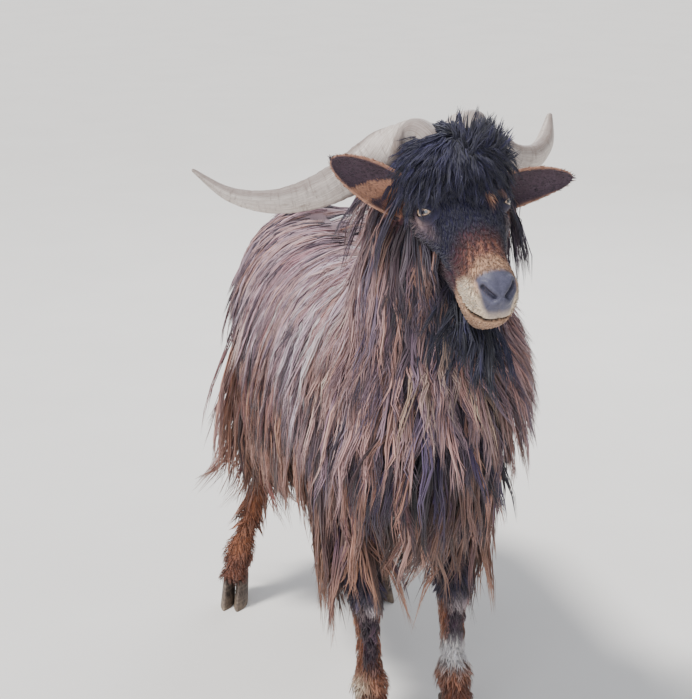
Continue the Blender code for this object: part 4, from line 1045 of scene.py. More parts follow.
def face_marks(points, colors):
    h = head_place(points)
    s, f, u = np.abs(h[:, 0]), h[:, 1], h[:, 2]
    side = np.stack([s, f, u], 1)
    zone = step(f, -0.030, 0.000) * on_head_zone(points)
    face = np.tile(TINTS["soot"], (len(points), 1))
    reach = f - 0.75 * np.clip(-0.014 - u, 0, 0.05) + 0.003 * cloud(points, 0.010, 8)
    front = step(reach + 0.020 * step(-u, 0.03, 0.05), 0.176, 0.196)
    over, inside = mouth_gap(h)
    below = step(-over, 0.0, 0.003)
    lip = step(f, 0.182, 0.200) * below
    face = lay_all(face, (
        ("ash_and_sheen", 0.75 * step(-0.045 - u, 0.0, 0.03) * step(0.150 - f, 0.0, 0.03)),
        # Painted sheen: a grey-lilac patch on the cheekbone under the eye, where light catches the
        # hair. Above, the same tint is the jaw's own ash-brown.
        ("ash_and_sheen", 0.55 * near(side, (0.058, 0.100, -0.040), (0.014, 0.030, 0.016))),
        ("navy", 0.5 * step(0.035 - f, 0.0, 0.05) * step(u, -0.03, 0.0)),
        ("orange", 0.60 * near(side, (0.060, 0.004, -0.052), (0.016, 0.026, 0.024))),
        ("tan", 1.2 * near(h, (0.027, 0.088, 0.004), (0.0052, 0.014, 0.012))),
        ("lid", 0.55 * near(side, (0.060, 0.094, -0.037), (0.012, 0.012, 0.006))),
        ("lid", 0.25 * near(side, (0.052, 0.116, -0.032), (0.012, 0.012, 0.006))),
        ("umber", step(reach, 0.130, 0.156)),
        ("orange", 0.60 * step(reach, 0.150, 0.180) * (0.6 + 0.6 * cloud(points, 0.012, 14))),
        ("muzzle", 0.85 * front),
        ("cream", 0.9 * front * step(-u, 0.022, 0.036) * step(f, 0.186, 0.204)),
        ("muzzle", lip),
        ("umber", 0.7 * below * step(0.200 - f, 0.0, 0.02)),
        ("soot", 0.8 * step(-over, 0.026, 0.040)),
        # Painted shade: the mouth's crease is painted near black, partly as its wet lip edge and
        # partly as shade, and the nostril slits are painted near black as shade.
        ("wet", 1.6 * inside * np.exp(-((over / 0.0028) ** 2))),
        ("wet", 4.0 * nostril_slit(h)),
    ))
    mask = zone[:, None]
    return colors * (1 - mask) + face * mask


NOSTRIL_ENDS = (0.021, 0.226, -0.022), (0.009, 0.240, -0.028)
NOSTRIL_DARK = 0.0036                        # half width of the nostril's painted shade


def nostril_slit(place):
    """1 in the painted shade of a nostril, 0 away from it."""
    side = np.stack([np.abs(place[:, 0]), place[:, 1], place[:, 2]], 1)
    gap = to_line(side, *NOSTRIL_ENDS)[0]
    return np.exp(-((gap / NOSTRIL_DARK) ** 4))


def nose_pad(points):
    """1 on the bare skin of the nose, 0 elsewhere."""
    h = head_place(points)
    s, f, u = np.abs(h[:, 0]), h[:, 1], h[:, 2]
    over = mouth_gap(h)[0]
    low = np.clip((-0.020 - u) / 0.042, 0, 1)
    wide = 0.0262 - 0.0120 * low**1.6
    soft = 0.002 + 0.006 * low
    pad = step(f, 0.203, 0.215) * step(wide - s, -soft, soft) * step(over, 0.0012, 0.0032)
    pad = pad * (1 - 0.55 * step(low, 0.55, 0.95)) * (1 - nostril_slit(h) ** 2)
    return pad * on_head_zone(points)


def markings(points):
    """The colour of skin and hair at each place."""
    points = np.asarray(points, float)
    colors = leg_marks(points, body_marks(points))
    colors = face_marks(points, colors)
    out = ear_share(points)
    colors = lay(colors, "inner_ear", (out > 0) * 1.0)
    colors = lay(colors, "orange", 0.75 * (out > 0) * step(0.30 - out, 0, 0.12))
    colors = lay(colors, "tan", 0.75 * ear_rim(points) * (out > 0.2))
    return np.clip(colors, 0.002, 1)


print("tints", len(TINTS))

# %% [markdown]
# ## Finishes
# A small class writes a finish's arithmetic as plain sums: a wire holds a number that
# changes over the surface, and adding or multiplying wires places the nodes for it. Colours
# are mixed by a mixing node, since a sum would turn them grey. Every other node is placed by
# one method, which takes its type, its settings and what feeds its sockets.

# %% Wires and finishes
class Wire:
    """A changing number in a finish."""

    def __init__(self, finish, socket):
        self.finish, self.socket = finish, socket

    def sum_of(self, operation, a, b):
        return self.finish.add("ShaderNodeMath", {"operation": operation}, {0: a, 1: b})

    def __add__(self, other):
        return self.sum_of("ADD", self, other)

    def __radd__(self, other):
        return self.sum_of("ADD", other, self)

    def __sub__(self, other):
        return self.sum_of("SUBTRACT", self, other)

    def __rsub__(self, other):
        return self.sum_of("SUBTRACT", other, self)

    def __mul__(self, other):
        return self.sum_of("MULTIPLY", self, other)

    def __rmul__(self, other):
        return self.sum_of("MULTIPLY", other, self)

    def __pow__(self, other):
        return self.sum_of("POWER", self, other)

    def absolute(self):
        return self.sum_of("ABSOLUTE", self, 0.0)

    def between(self, low, high):
        """From 0 at low to 1 at high, held there."""
        return self.finish.add(
            "ShaderNodeMapRange", {"interpolation_type": "SMOOTHSTEP"},
            {"Value": self, "From Min": low, "From Max": high},
        )


class Finish:
    """One procedural material, ended by a Principled shader."""

    def __init__(self, name, **constants):
        self.material = bpy.data.materials.new(name)
        self.material.use_nodes = True
        self.tree = self.material.node_tree
        self.shader = self.tree.nodes["Principled BSDF"]
        for key, value in constants.items():
            self.shader.inputs[key.replace("_", " ")].default_value = value

    def add(self, kind, settings=None, inputs=None, output=0):
        node = self.tree.nodes.new(kind)
        for key, value in (settings or {}).items():
            setattr(node, key, value)
        self.feed(node, inputs or {})
        return Wire(self, node.outputs[output])

    def feed(self, node, inputs):
        for key, value in inputs.items():
            if isinstance(value, Wire):
                self.tree.links.new(value.socket, node.inputs[key])
            else:
                node.inputs[key].default_value = value

    def end(self, **inputs):
        self.feed(self.shader, {key.replace("_", " "): v for key, v in inputs.items()})
        return self.material

    def attribute(self, name, output="Color"):
        return self.add("ShaderNodeAttribute", {"attribute_name": name}, {}, output)

    def parts(self, vector):
        """The three numbers of a vector."""
        node = self.add("ShaderNodeSeparateXYZ", {}, {0: vector}).socket.node
        return [Wire(self, socket) for socket in node.outputs]

    def vector(self, x, y, z):
        return self.add("ShaderNodeCombineXYZ", {}, {0: x, 1: y, 2: z})

    def place(self):
        return self.add("ShaderNodeTexCoord", {}, {}, "Object")

    def noise(self, where, scale, detail=3.0, rough=0.55):
        return self.add("ShaderNodeTexNoise", {}, {
            "Vector": where, "Scale": scale, "Detail": detail, "Roughness": rough,
        })

    def blend(self, share, a, b, how="MIX"):
        """A colour from a to b by share."""
        a, b = [v if isinstance(v, Wire) else (*v[:3], 1.0) for v in (a, b)]
        return self.add(
            "ShaderNodeMix", {"data_type": "RGBA", "blend_type": how, "clamp_result": True},
            {0: share, 6: a, 7: b}, 2,
        )

    def bump(self, height, strength, distance, under=None):
        inputs = {"Height": height, "Strength": strength, "Distance": distance}
        if under is not None:
            inputs["Normal"] = under
        return self.add("ShaderNodeBump", {}, inputs)

# %% [markdown]
# ### Coat, skin, eyes, horns and hooves
# A hair is darker at its root and catches light along its length, so the coat's finish
# streaks its mark with fine lines that run along each lock. The skin has the same mark with
# a nap of short hair in its bump, and its bare nose is pebbled and a little moist. Horn is
# keratin: pale, with lines along it and dirt in its rings. Hooves are darker and duller.

# %% The coat
def coat_finish():
    f = Finish("coat", Specular_IOR_Level=0.5, Sheen_Weight=0.10)
    along, across, chance = f.parts(f.attribute("grain", "Vector"))
    streak = f.noise(f.vector(across * 3.0, along * 1.4, chance * 90.0), 2.2, 3.0, 0.6)
    fine = f.noise(f.vector(across * 9.0, along * 2.0, chance * 41.0), 2.0, 2.0, 0.6)
    mark = f.attribute("mark")
    shade = (streak * 0.9 + fine * 0.5).between(0.35, 1.05)
    dark = f.blend(1.0, mark, (0.32, 0.27, 0.30), "MULTIPLY")
    color = f.blend(shade, dark, mark)
    normal = f.bump(streak * 0.6 + fine * 0.4, 0.5, 0.0012)
    return f.end(Base_Color=color, Normal=normal, Roughness=0.42 + streak * 0.22)


# %% The skin
def skin_finish():
    f = Finish("skin", Roughness=0.7, Specular_IOR_Level=0.3)
    where = f.place()
    mark = f.attribute("mark")
    bare = f.attribute("bare", "Fac")
    nap = f.noise(where, 420.0, 4.0, 0.7)
    patch = f.noise(where, 60.0, 3.0, 0.6)
    speckle = (nap * 0.8 + patch * 0.4).between(0.35, 0.85)
    furred = f.blend(speckle, (0.5, 0.47, 0.46), (1.0, 1.0, 1.0))
    furred = f.blend(1.0, mark, furred, "MULTIPLY")
    pebbles = f.add("ShaderNodeTexVoronoi", {}, {"Vector": where, "Scale": 620.0})
    folds = f.noise(where, 130.0, 4.0, 0.6)
    pad = f.blend(folds.between(0.3, 0.7), TINTS["slate"] * 0.7, TINTS["slate"])
    pad = f.blend(0.6 + pebbles.between(0.0, 0.5) * 0.4, TINTS["soot"], pad)
    height = nap * (1.0 - bare) + (pebbles * 0.6 + folds * 0.7) * bare
    normal = f.bump(height, 0.45, 0.0012)
    rough = 0.74 - bare * 0.34 + folds * 0.08
    return f.end(Base_Color=f.blend(bare, furred, pad), Normal=normal, Roughness=rough)


# %% The lids, darker at their wet edge, with painted shade where they tuck in against the ball
def lid_finish():
    f = Finish("eyelid", Roughness=0.55, Specular_IOR_Level=0.4)
    where = f.place()
    wet = f.attribute("wet", "Fac")
    folds = f.noise(where, 500.0, 3.0, 0.65)
    mark = f.attribute("mark")
    skin_color = f.blend(folds.between(0.3, 0.75), (0.55, 0.5, 0.48), (1.0, 1.0, 1.0))
    skin_color = f.blend(1.0, mark, skin_color, "MULTIPLY")
    color = f.blend(wet, skin_color, TINTS["wet"])
    return f.end(Base_Color=color, Normal=f.bump(folds, 0.35, 0.0008), Roughness=0.62 - wet * 0.35)


# %% The eye, seen by its own directions
def eye_finish():
    f = Finish("eye", Roughness=0.06, Specular_IOR_Level=0.6, Coat_Weight=1.0, Coat_Roughness=0.03)
    x, y, z = f.parts(f.attribute("gaze", "Vector"))
    rim = (x * x + y * y) ** 0.5
    rays = f.noise(f.vector(x * 9.0, y * 9.0, 0.5), 3.0, 4.0, 0.7)
    iris = f.blend(rays.between(0.3, 0.75), tint(160, 128, 104), tint(222, 190, 162))
    iris = f.blend(rim.between(0.66, 0.84), iris, tint(120, 96, 78))
    slot = 1.0 - x.absolute().between(0.44, 0.52)
    thin = 1.0 - y.absolute().between(0.14, 0.19)
    color = f.blend(slot * thin, iris, (0.006, 0.006, 0.008))
    ball = f.blend(rim.between(0.84, 0.90), color, tint(120, 96, 84))
    return f.end(Base_Color=f.blend(z.between(-0.2, 0.1), tint(120, 96, 84), ball))


# %% Horn and hoof
def horn_finish():
    f = Finish("horn", Roughness=0.5, Specular_IOR_Level=0.45)
    length, broad, thin = f.parts(f.attribute("grain", "Vector"))
    where = f.place()
    lines = f.noise(f.vector(length * 14.0, broad * 9.0, thin * 9.0), 3.2, 5.0, 0.65)
    rings = f.noise(f.vector(length * 240.0, broad * 0.8, thin * 0.8), 1.0, 4.0, 0.6)
    dirt = f.noise(where, 38.0, 4.0, 0.6)
    color = f.blend(lines.between(0.3, 0.72), tint(168, 152, 142), tint(226, 217, 208))
    color = f.blend(rings.between(0.52, 0.72) * 0.55, color, tint(122, 104, 94))
    keel = broad.absolute().between(0.80, 0.99)
    color = f.blend(keel * 0.60, color, tint(92, 72, 66))
    color = f.blend(dirt.between(0.56, 0.74) * 0.5, color, tint(116, 98, 84))
    tip = length.between(0.30, 0.44)
    color = f.blend(tip * 0.45, color, tint(120, 106, 100))
    normal = f.bump(lines * 0.5 + rings * 0.8, 0.55, 0.0016)
    return f.end(Base_Color=color, Normal=normal, Roughness=0.42 + dirt * 0.25)


def hoof_finish():
    f = Finish("hoof", Roughness=0.6, Specular_IOR_Level=0.4)
    where = f.place()
    x, y, z = f.parts(where)
    rings = f.noise(f.vector(x * 12.0, y * 12.0, z * 260.0), 1.0, 3.0, 0.6)
    lines = f.noise(f.vector(x * 420.0, y * 420.0, z * 14.0), 1.0, 4.0, 0.6)
    color = f.blend(lines.between(0.3, 0.7), tint(52, 44, 42), tint(104, 90, 80))
    color = f.blend(rings.between(0.45, 0.7) * 0.5, color, tint(134, 118, 102))
    dust = f.noise(where, 90.0, 4.0, 0.6)
    color = f.blend(z.between(0.030, 0.0) * dust.between(0.3, 0.7) * 0.7, color, tint(150, 132, 112))
    normal = f.bump(rings + lines * 0.5, 0.6, 0.0012)
    return f.end(Base_Color=color, Normal=normal, Roughness=0.5 + dust * 0.3)


coat, skin_look, lid_look = coat_finish(), skin_finish(), lid_finish()
eye_look, horn_look, hoof_look = eye_finish(), horn_finish(), hoof_finish()


UNDER_COAT_SHADE = 0.62                            # painted shade: how much darker the skin is painted under long hair


def shade_under(points):
    """Painted shade: how dark the skin is painted under long hair; 1 where the hair is short."""
    d = laid_out(points)
    bare = on_head_zone(points) | (ear_share(points) > 0)
    return np.where(bare, 1.0, 1 - UNDER_COAT_SHADE * step(d[:, 2], 0.235, 0.30))


def paint(obj):
    """Give the skin or a lid its marks, with painted shade where long hair covers it."""
    points = np.array([v.co for v in obj.data.vertices])
    colors = np.ones((len(points), 4), np.float32)
    colors[:, :3] = markings(points) * shade_under(points)[:, None]
    mark = obj.data.attributes.new("mark", "FLOAT_COLOR", "POINT")
    mark.data.foreach_set("color", colors.ravel())
    return points


def scalar(obj, name, values):
    layer = obj.data.attributes.new(name, "FLOAT", "POINT")
    layer.data.foreach_set("value", np.asarray(values, np.float32))


skin_points = paint(skin)
scalar(skin, "bare", nose_pad(skin_points))
for obj in eyelids:
    points = paint(obj)
    name = obj.name.split("_")[1]
    center, out, along, above = [np.array(v) for v in eye_frame(name)]
    off = points - center
    reach = np.hypot(off @ along / OPEN_WIDE, off @ above / OPEN_UP)
    # The lids' inner edge is dark and wet, with painted shade where it tucks in against the ball.
    scalar(obj, "wet", step(1.12 - reach, 0.0, 0.07))
for look, pieces in (
    (skin_look, [skin]), (lid_look, eyelids), (eye_look, eyeballs), (horn_look, horns),
    (hoof_look, [*hooves.values(), *lobes]),
):
    for piece in pieces:
        piece.data.materials.clear()
        piece.data.materials.append(look)
print("finishes", len(bpy.data.materials))

# %% [markdown]
# ## The coat: roots, paths, locks
# Real goat hair grows in locks: a few dozen hairs share a root patch, wave together and come
# to a point. Each lock here is a path that starts in the skin, lies over it, lifts a little
# and then hangs. The path is pushed out wherever it would enter the body. Eight or so
# tapered strands follow each path and close up toward its tip. Particle hair isn't used,
# because it wouldn't leave Blender as solid mesh. One strand is modelled with bmesh and
# repeated by arrays, as one would with an Array modifier.

# %% Scatter roots over the skin
skin.data.calc_loop_triangles()
corner = np.empty(len(skin.data.loop_triangles) * 3, np.int32)
skin.data.loop_triangles.foreach_get("vertices", corner)
corner = skin_points[corner].reshape(-1, 3, 3)
tri_normal = np.cross(corner[:, 1] - corner[:, 0], corner[:, 2] - corner[:, 0])
tri_area = np.linalg.norm(tri_normal, axis=1) / 2
tri_normal = unit(tri_normal)
tri_middle = corner.mean(1)


def zones():
    """Which part of the animal each triangle of the skin belongs to."""
    d = laid_out(tri_middle)
    ear = ear_share(tri_middle) > 0
    face = on_head_zone(tri_middle) & ~ear
    x, y, z = d.T
    tail = (y > TAIL_FRONT) & (np.abs(x) < 0.040) & (z > TAIL_LOW) & ~face
    leg = (z < LEG_TOP) & (np.abs(x) > 0.015)
    neck = (y < NECK_BACK) & (z > NECK_FOOT) & ~face & ~ear
    trunk = ~(ear | face | tail | leg | neck)
    return {"ear": ear, "face": face, "tail": tail, "leg": leg, "neck": neck, "trunk": trunk}


ZONES = zones()
print({name: round(float(tri_area[mask].sum()), 3) for name, mask in ZONES.items()}, "square metres")


def scatter(weight, count, seed):
    """Roots and outward directions, spread by the triangles' weight."""
    draw = np.random.default_rng(seed)
    share = tri_area * weight
    pick = draw.choice(len(share), size=count, p=share / share.sum())
    a, b = np.sqrt(draw.random(count)), draw.random(count)
    weights = np.stack([1 - a, a * (1 - b), a * b], 1)
    return (corner[pick] * weights[:, :, None]).sum(1), tri_normal[pick]


# %% Lay a lock over the body
ROOT_DEEP, LIE = 0.003, 0.0012               # how deep a root sits, and how high hair lies
OVER_FLOOR = 0.006


def lay_path(root, normal, flow, length, lift, hang, stand, cling, places):
    """A lock's centre line from under the skin to its tip, with the ways outward."""
    root, normal, flow = Vector(root), Vector(normal), Vector(flow)
    flow = ((flow - normal * flow.dot(normal)).normalized() + normal * stand).normalized()
    down = Vector((0, 0, -1))
    points, outs = [root - normal * ROOT_DEEP], [normal]
    point, before = root.copy(), 0.0
    heading = (flow + normal * (12.0 * lift)).normalized()
    for share in places[1:]:
        target = flow * (1 - hang * share) + down * (hang * share)
        heading = (heading * 0.6 + target.normalized()).normalized()
        new = point + heading * (length * (share - before))
        height = LIE + lift * share
        spot, outward = skin_tree.find_nearest(new)[:2]
        above = (new - spot).dot(outward)
        if above < height:
            new = new + outward * (height - above)
        else:
            new = new - outward * (above - height) * cling * min(1.0, max(0.0, outward.z * 3))
        heading = (new - point).normalized()
        new.z = max(new.z, OVER_FLOOR)
        point, before = new, share
        points.append(new)
        outs.append(outward)
    return points, outs


def lay_paths(roots, normals, flows, lengths, lifts, hangs, stands, clings, rings):
    places = np.linspace(0, 1, rings + 1)
    laid = [
        lay_path(*row, places)
        for row in zip(roots, normals, flows, lengths, lifts, hangs, stands, clings)
    ]
    paths = np.array([[list(p) for p in points] for points, _ in laid])
    outs = np.array([[list(o) for o in outs] for _, outs in laid])
    return paths, outs


# %% One strand, and many from it
def strand_model(rings):
    """A three-sided spike, cut across so that it can bend."""
    bm = bmesh.new()
    bmesh.ops.create_cone(bm, cap_ends=True, segments=3, radius1=1.0, radius2=0.0, depth=1.0)
    bmesh.ops.translate(bm, verts=bm.verts, vec=(0, 0, 0.5))
    bmesh.ops.remove_doubles(bm, verts=bm.verts, dist=1e-4)
    for k in range(1, rings):
        geometry = bm.verts[:] + bm.edges[:] + bm.faces[:]
        cut = (0, 0, k / rings)
        bmesh.ops.bisect_plane(bm, geom=geometry, dist=1e-5, plane_co=cut, plane_no=(0, 0, 1))
    bmesh.ops.recalc_face_normals(bm, faces=bm.faces)
    ring = np.array([round(v.co.z * rings) for v in bm.verts])
    turn = np.array([math.atan2(v.co.y, v.co.x) if v.co.xy.length > 1e-4 else 0.0 for v in bm.verts])
    faces = [[v.index for v in f.verts] for f in bm.faces]
    bm.free()
    return ring, turn, faces


def taper(share):
    return np.clip(0.55 + 1.8 * share, 0, 1) * (1 - share**2.4) ** 0.9


HAIR_FLAT, TUFT_FLAT = 0.42, 0.35            # a strand's thickness as a share of its width


def strands_object(name, paths, outs, widths, roots, mark, tip_mark, chance, flat):
    """Every strand of a piece as one mesh: M paths of R + 1 points."""
    count, rings = paths.shape[0], paths.shape[1] - 1
    ring, turn, faces = strand_model(rings)
    tangent = unit(np.gradient(paths, axis=1))
    across = unit(np.cross(tangent, outs))
    outs = np.cross(across, tangent)
    spin = (chance[:, None, None] - 0.5) * 1.6
    side = across * np.cos(spin) + outs * np.sin(spin)
    face = outs * np.cos(spin) - across * np.sin(spin)
    share = ring / rings
    size = widths[:, None] / 2 * taper(share)[None]
    base = paths[:, ring]
    points = base + side[:, ring] * (np.cos(turn) * size)[:, :, None]
    points += face[:, ring] * (np.sin(turn) * size * flat)[:, :, None]
    per = len(ring)
    sizes = np.array([len(f) for f in faces])
    flat_faces = np.concatenate(faces)
    loops = (flat_faces[None] + (np.arange(count) * per)[:, None]).ravel()
    starts = np.concatenate([[0], np.cumsum(np.tile(sizes, count))[:-1]])
    mesh = bpy.data.meshes.new(name)
    mesh.vertices.add(count * per)
    mesh.vertices.foreach_set("co", points.astype(np.float32).ravel())
    mesh.loops.add(len(loops))
    mesh.loops.foreach_set("vertex_index", loops.astype(np.int32))
    mesh.polygons.add(len(starts))
    mesh.polygons.foreach_set("loop_start", starts.astype(np.int32))
    mesh.update(calc_edges=True)
    mesh.shade_smooth()
    fade = (share**1.4)[None, :, None]
    colors = np.ones((count, per, 4), np.float32)
    colors[:, :, :3] = mark[:, None] * (1 - fade) + tip_mark[:, None] * fade
    layer = mesh.attributes.new("mark", "FLOAT_COLOR", "POINT")
    layer.data.foreach_set("color", colors.ravel())
    grain = np.empty((count, per, 3), np.float32)
    grain[:, :, 0] = share
    grain[:, :, 1] = np.cos(turn)
    grain[:, :, 2] = chance[:, None]
    layer = mesh.attributes.new("grain", "FLOAT_VECTOR", "POINT")
    layer.data.foreach_set("vector", grain.ravel())
    sheet = unwrap(roots)[:, None] + BAKE_PATCH * np.stack(
        [np.cos(turn) * 0.5, share - 0.5], 1
    )[None]
    layer = mesh.uv_layers.new(name="OFBake")
    layer.data.foreach_set("uv", sheet.reshape(-1, 2)[loops].astype(np.float32).ravel())
    mesh.materials.append(coat)
    obj = bpy.data.objects.new(name, mesh)
    bpy.context.scene.collection.objects.link(obj)
    return obj


# %% The coat's sheet: each zone rolled flat round its own middle line
BAKE_PATCH = 0.003


def island(share, turn, spot, size):
    """Places on one rectangle of the sheet."""
    u = spot[0] + np.clip(share, 0.01, 0.99) * size[0]
    v = spot[1] + (turn / (2 * math.pi) + 0.5) * size[1]
    return np.stack([u, v], 1)


def unwrap(points):
    x, y, z = laid_out(points).T
    side, forward, up = head_place(points).T
    trunk_turn, throat = np.arctan2(x, z - 0.52), y + 0.02 + (z - 0.56) * 0.35
    islands = [
        (z > -1, island((y + 0.15) / 0.82, trunk_turn, (0.01, 0.01), (0.55, 0.55))),
        ((y < NECK_BACK) & (z > NECK_FOOT),
         island((z - 0.55) / 0.37, np.arctan2(x, -throat), (0.58, 0.01), (0.41, 0.35))),
        (on_head_zone(points),
         island((forward + 0.04) / 0.30, np.arctan2(side, up + 0.055), (0.58, 0.38), (0.41, 0.30))),
    ]
    for k, foot in enumerate(FEET):
        cx, cy = leg_axis(foot, z)[:2]
        on_leg = (z < LEG_TOP) & (np.hypot(x - cx, y - cy) < 0.09)
        turn = np.arctan2(x - cx, y - cy)
        islands.append((on_leg, island(z / 0.34, turn, (0.01 + 0.145 * k, 0.58), (0.135, 0.40))))
    tail_turn = np.arctan2(x, z - 0.66)
    islands.append((
        (y > TAIL_FRONT) & (z > TAIL_LOW),
        island((y - 0.60) / 0.20, tail_turn, (0.60, 0.70), (0.18, 0.12)),
    ))
    for k, name in enumerate(SIDES):
        out, gap, across, cup = along_ear(points, name)
        on_ear = (gap < EAR_REACH) & (out > EAR_FOOT)
        turn = np.arctan2(across, cup)
        islands.append((on_ear, island(out, turn, (0.60 + 0.20 * k, 0.84), (0.18, 0.14))))
    sheet = np.zeros((len(points), 2))
    for mask, places in islands:
        sheet = np.where(mask[:, None], places, sheet)
    return sheet


# %% Locks from paths
PIECE_LIMIT = 190000                         # most triangles in one object
SHORTEST = 0.34                              # how much shorter the shortest strand of a lock is
CLUMP = 0.78                                 # how far a lock closes up toward its tip
GATHER = 1.5                                 # how far neighbours sway together
OUTER_PAINTED_LIGHT = 0.35                           # painted light: outer strands of a lock are painted paler and inner ones darker, as on a lit round lock


def bend_strands(paths, outs, strands, spread, wave, cycles, seed):
    """The strands of each lock: spread at the root, close at the tip, waved together."""
    draw = np.random.default_rng(seed)
    count, rings = paths.shape[0], paths.shape[1] - 1
    total = count * strands
    lock = np.repeat(np.arange(count), strands)
    share = np.linspace(0, 1, rings + 1)
    reach = 1 - SHORTEST * draw.random(total) ** 1.5
    at = share[None] * reach[:, None] * rings
    low = np.minimum(at.astype(int), rings - 1)
    part = (at - low)[:, :, None]
    base = paths[lock[:, None], low] * (1 - part) + paths[lock[:, None], low + 1] * part
    away = outs[lock[:, None], low] * (1 - part) + outs[lock[:, None], low + 1] * part
    tangent = unit(np.gradient(base, axis=1))
    across = unit(np.cross(tangent, away))
    away = np.cross(across, tangent)
    radius, turn = np.sqrt(draw.random(total)), draw.random(total) * 2 * math.pi
    close = 1 - CLUMP * share[None] ** 0.8
    scale = (spread[lock] * radius)[:, None] * close
    phase = (draw.random(count)[lock] + draw.normal(0, 0.05, total))[:, None]
    beat = draw.uniform(0.8, 1.2, count)[lock][:, None] * cycles
    swing = wave[lock][:, None] * share[None] ** 0.8 * (0.7 + 0.6 * draw.random(total))[:, None]
    sway = swing * np.sin(2 * math.pi * (beat * share[None] + phase))
    roll = 0.5 * swing * np.cos(2 * math.pi * (beat * share[None] + phase))
    stray = draw.normal(0, 0.10, (total, 1)) * spread[lock][:, None] * share[None] ** 2 * 3
    stray += GATHER * wave[lock][:, None] * share[None] ** 0.7 * ripple_field(base)
    base = base + across * (scale * np.cos(turn)[:, None] + sway + stray)[:, :, None]
    rise = scale * np.sin(turn)[:, None] * 0.45 + roll + 0.25 * np.abs(scale)
    base = base + away * rise[:, :, None]
    return base, away, lock, radius * np.sin(turn)


def ripple_field(points):
    """A soft number from -1 to 1 at each point, alike for neighbours, so that they gather."""
    flat = points.reshape(-1, 3)
    both = cloud(flat, 0.075, 41) * 0.65 + cloud(flat, 0.040, 42) * 0.35
    return both.reshape(points.shape[:-1])


def in_pieces(name, count, rings, build):
    """Strands shared out over as many objects as the limit on triangles asks for."""
    total = count * ((rings - 1) * 6 + 4)
    split = max(1, math.ceil(total / PIECE_LIMIT))
    print(name, total, "triangles in", split)
    return [
        build(name if split == 1 else f"{name}_{k + 1}", part)
        for k, part in enumerate(np.array_split(np.arange(count), split))
    ]


def hair_colors(roots, lock, tips, seed, spread, motley=0.0, mark=None, outer=0.0):
    """Each strand's root and tip colours, varied lock by lock and strand by strand."""
    draw = np.random.default_rng(seed)
    mark = markings(roots) if mark is None else mark
    kind = draw.random(len(roots))
    dusk = (kind < motley)[:, None]
    dawn = (kind > 1 - 0.7 * motley)[:, None]
    high = step(roots[:, 2], 0.42, 0.62)[:, None]
    under = TINTS["navy"] * 0.22 * high + TINTS["umber"] * 0.34 * (1 - high)
    mark = np.where(dusk, mark * 0.22 + under, mark)
    mark = np.where(dawn, mark * 0.6 + TINTS["tan"] * 0.4, mark)
    own = np.exp(draw.normal(0, spread, len(roots)))[lock] * np.exp(draw.normal(0, 0.20, len(lock)))
    # Painted light: strands on the outer side of a lock are painted paler and those inside it darker.
    own = own * np.exp(OUTER_PAINTED_LIGHT * outer)
    warm = draw.random(len(roots))[lock][:, None]
    root = mark[lock] * own[:, None]
    # Pale tips: sun-bleached tan low on the body; high on the body they are a painted silvery sheen.
    pale = (TINTS["tan"] * (1 - high) + TINTS["painted_sheen"] * high)[lock] * (0.65 + 0.5 * warm)
    pale = pale * np.where(dusk, 0.35, 1.0)[lock]
    share = np.clip(np.asarray(tips)[lock] * (0.4 + 1.2 * warm[:, 0]), 0, 1)[:, None]
    tip = root * 1.20 * (1 - share) + pale * share
    return np.clip(root * 0.60, 0, 1), np.clip(tip, 0, 1)


LIFT_SHARES = 0.3, 1.15                      # dark locks lie sunk, the others stand a little more
JUMP = 0.025                                 # a longer leap than this is a lock thrown astray
LOCK_TONES, TUFT_TONES = 0.38, 0.18          # how much locks and tufts differ in tone


def grow(name, roots, normals, flows, length, lift, hang, *, strands, spread, width, wave,
         tips, seed, rings=5, cycles=1.3, motley=0.0, mark=None, stand=0.0, cling=0.0):
    """A piece of coat, in as many objects as its size asks for."""
    count = len(roots)
    full = np.ones(count)
    sunk = np.random.default_rng(seed + 2).random(count) < motley
    lift = lift * np.where(sunk, *LIFT_SHARES)
    paths, outs = lay_paths(
        roots, normals, flows, length * full, lift, hang * full, stand * full, cling * full, rings
    )
    # A lock that was thrown across the body by a fold of the skin is laid down at its root.
    jump = np.linalg.norm(np.diff(paths, axis=1), axis=2).max(1) > 2.0 * length / rings + JUMP
    paths[jump] = paths[jump, :1] + (paths[jump] - paths[jump, :1]) * 0.02
    base, away, lock, outer = bend_strands(
        paths, outs, strands, spread * full, wave * full, cycles, seed
    )
    draw = np.random.default_rng(seed + 1)
    mark, tip = hair_colors(roots, lock, tips * full, seed + 2, LOCK_TONES, motley, mark, outer)
    widths = width * draw.uniform(0.7, 1.3, len(lock))
    chance = draw.random(len(lock))
    return in_pieces(name, len(lock), rings, lambda label, part: strands_object(
        label, base[part], away[part], widths[part], roots[lock[part]],
        mark[part], tip[part], chance[part], HAIR_FLAT,
    ))


# %% [markdown]
# ### The long coat
# The coat parts along the spine. On the back a lock first runs outward, then over the flank
# and down, so upper locks cover the roots of lower ones as shingles do. Locks low on the
# side are cut to length by where they end: the fringe hangs a hand above the knees all
# round. Their tips are bleached tan by the sun. The neck carries the same hair as a mane
# that hangs on all sides of it.

# %% Trunk
FRINGE = 0.240                               # height of the fringe at the chest


def hanging(way, roots, spread, draw):
    """One way for every root, each a little off it."""
    return np.tile(way, (len(roots), 1)) + draw.normal(0, spread, roots.shape)


def fringe(d):
    """The height at which the coat ends: deep at the elbows and thighs, high at the flank."""
    x, y = np.abs(d[:, 0]), d[:, 1]
    elbow = 0.055 * np.exp(-(((y - 0.085) / 0.055) ** 2)) * step(x, 0.05, 0.10)
    flank = 0.045 * np.exp(-(((y - 0.290) / 0.090) ** 2))
    return FRINGE - elbow + flank - 0.040 * step(y, 0.42, 0.50)


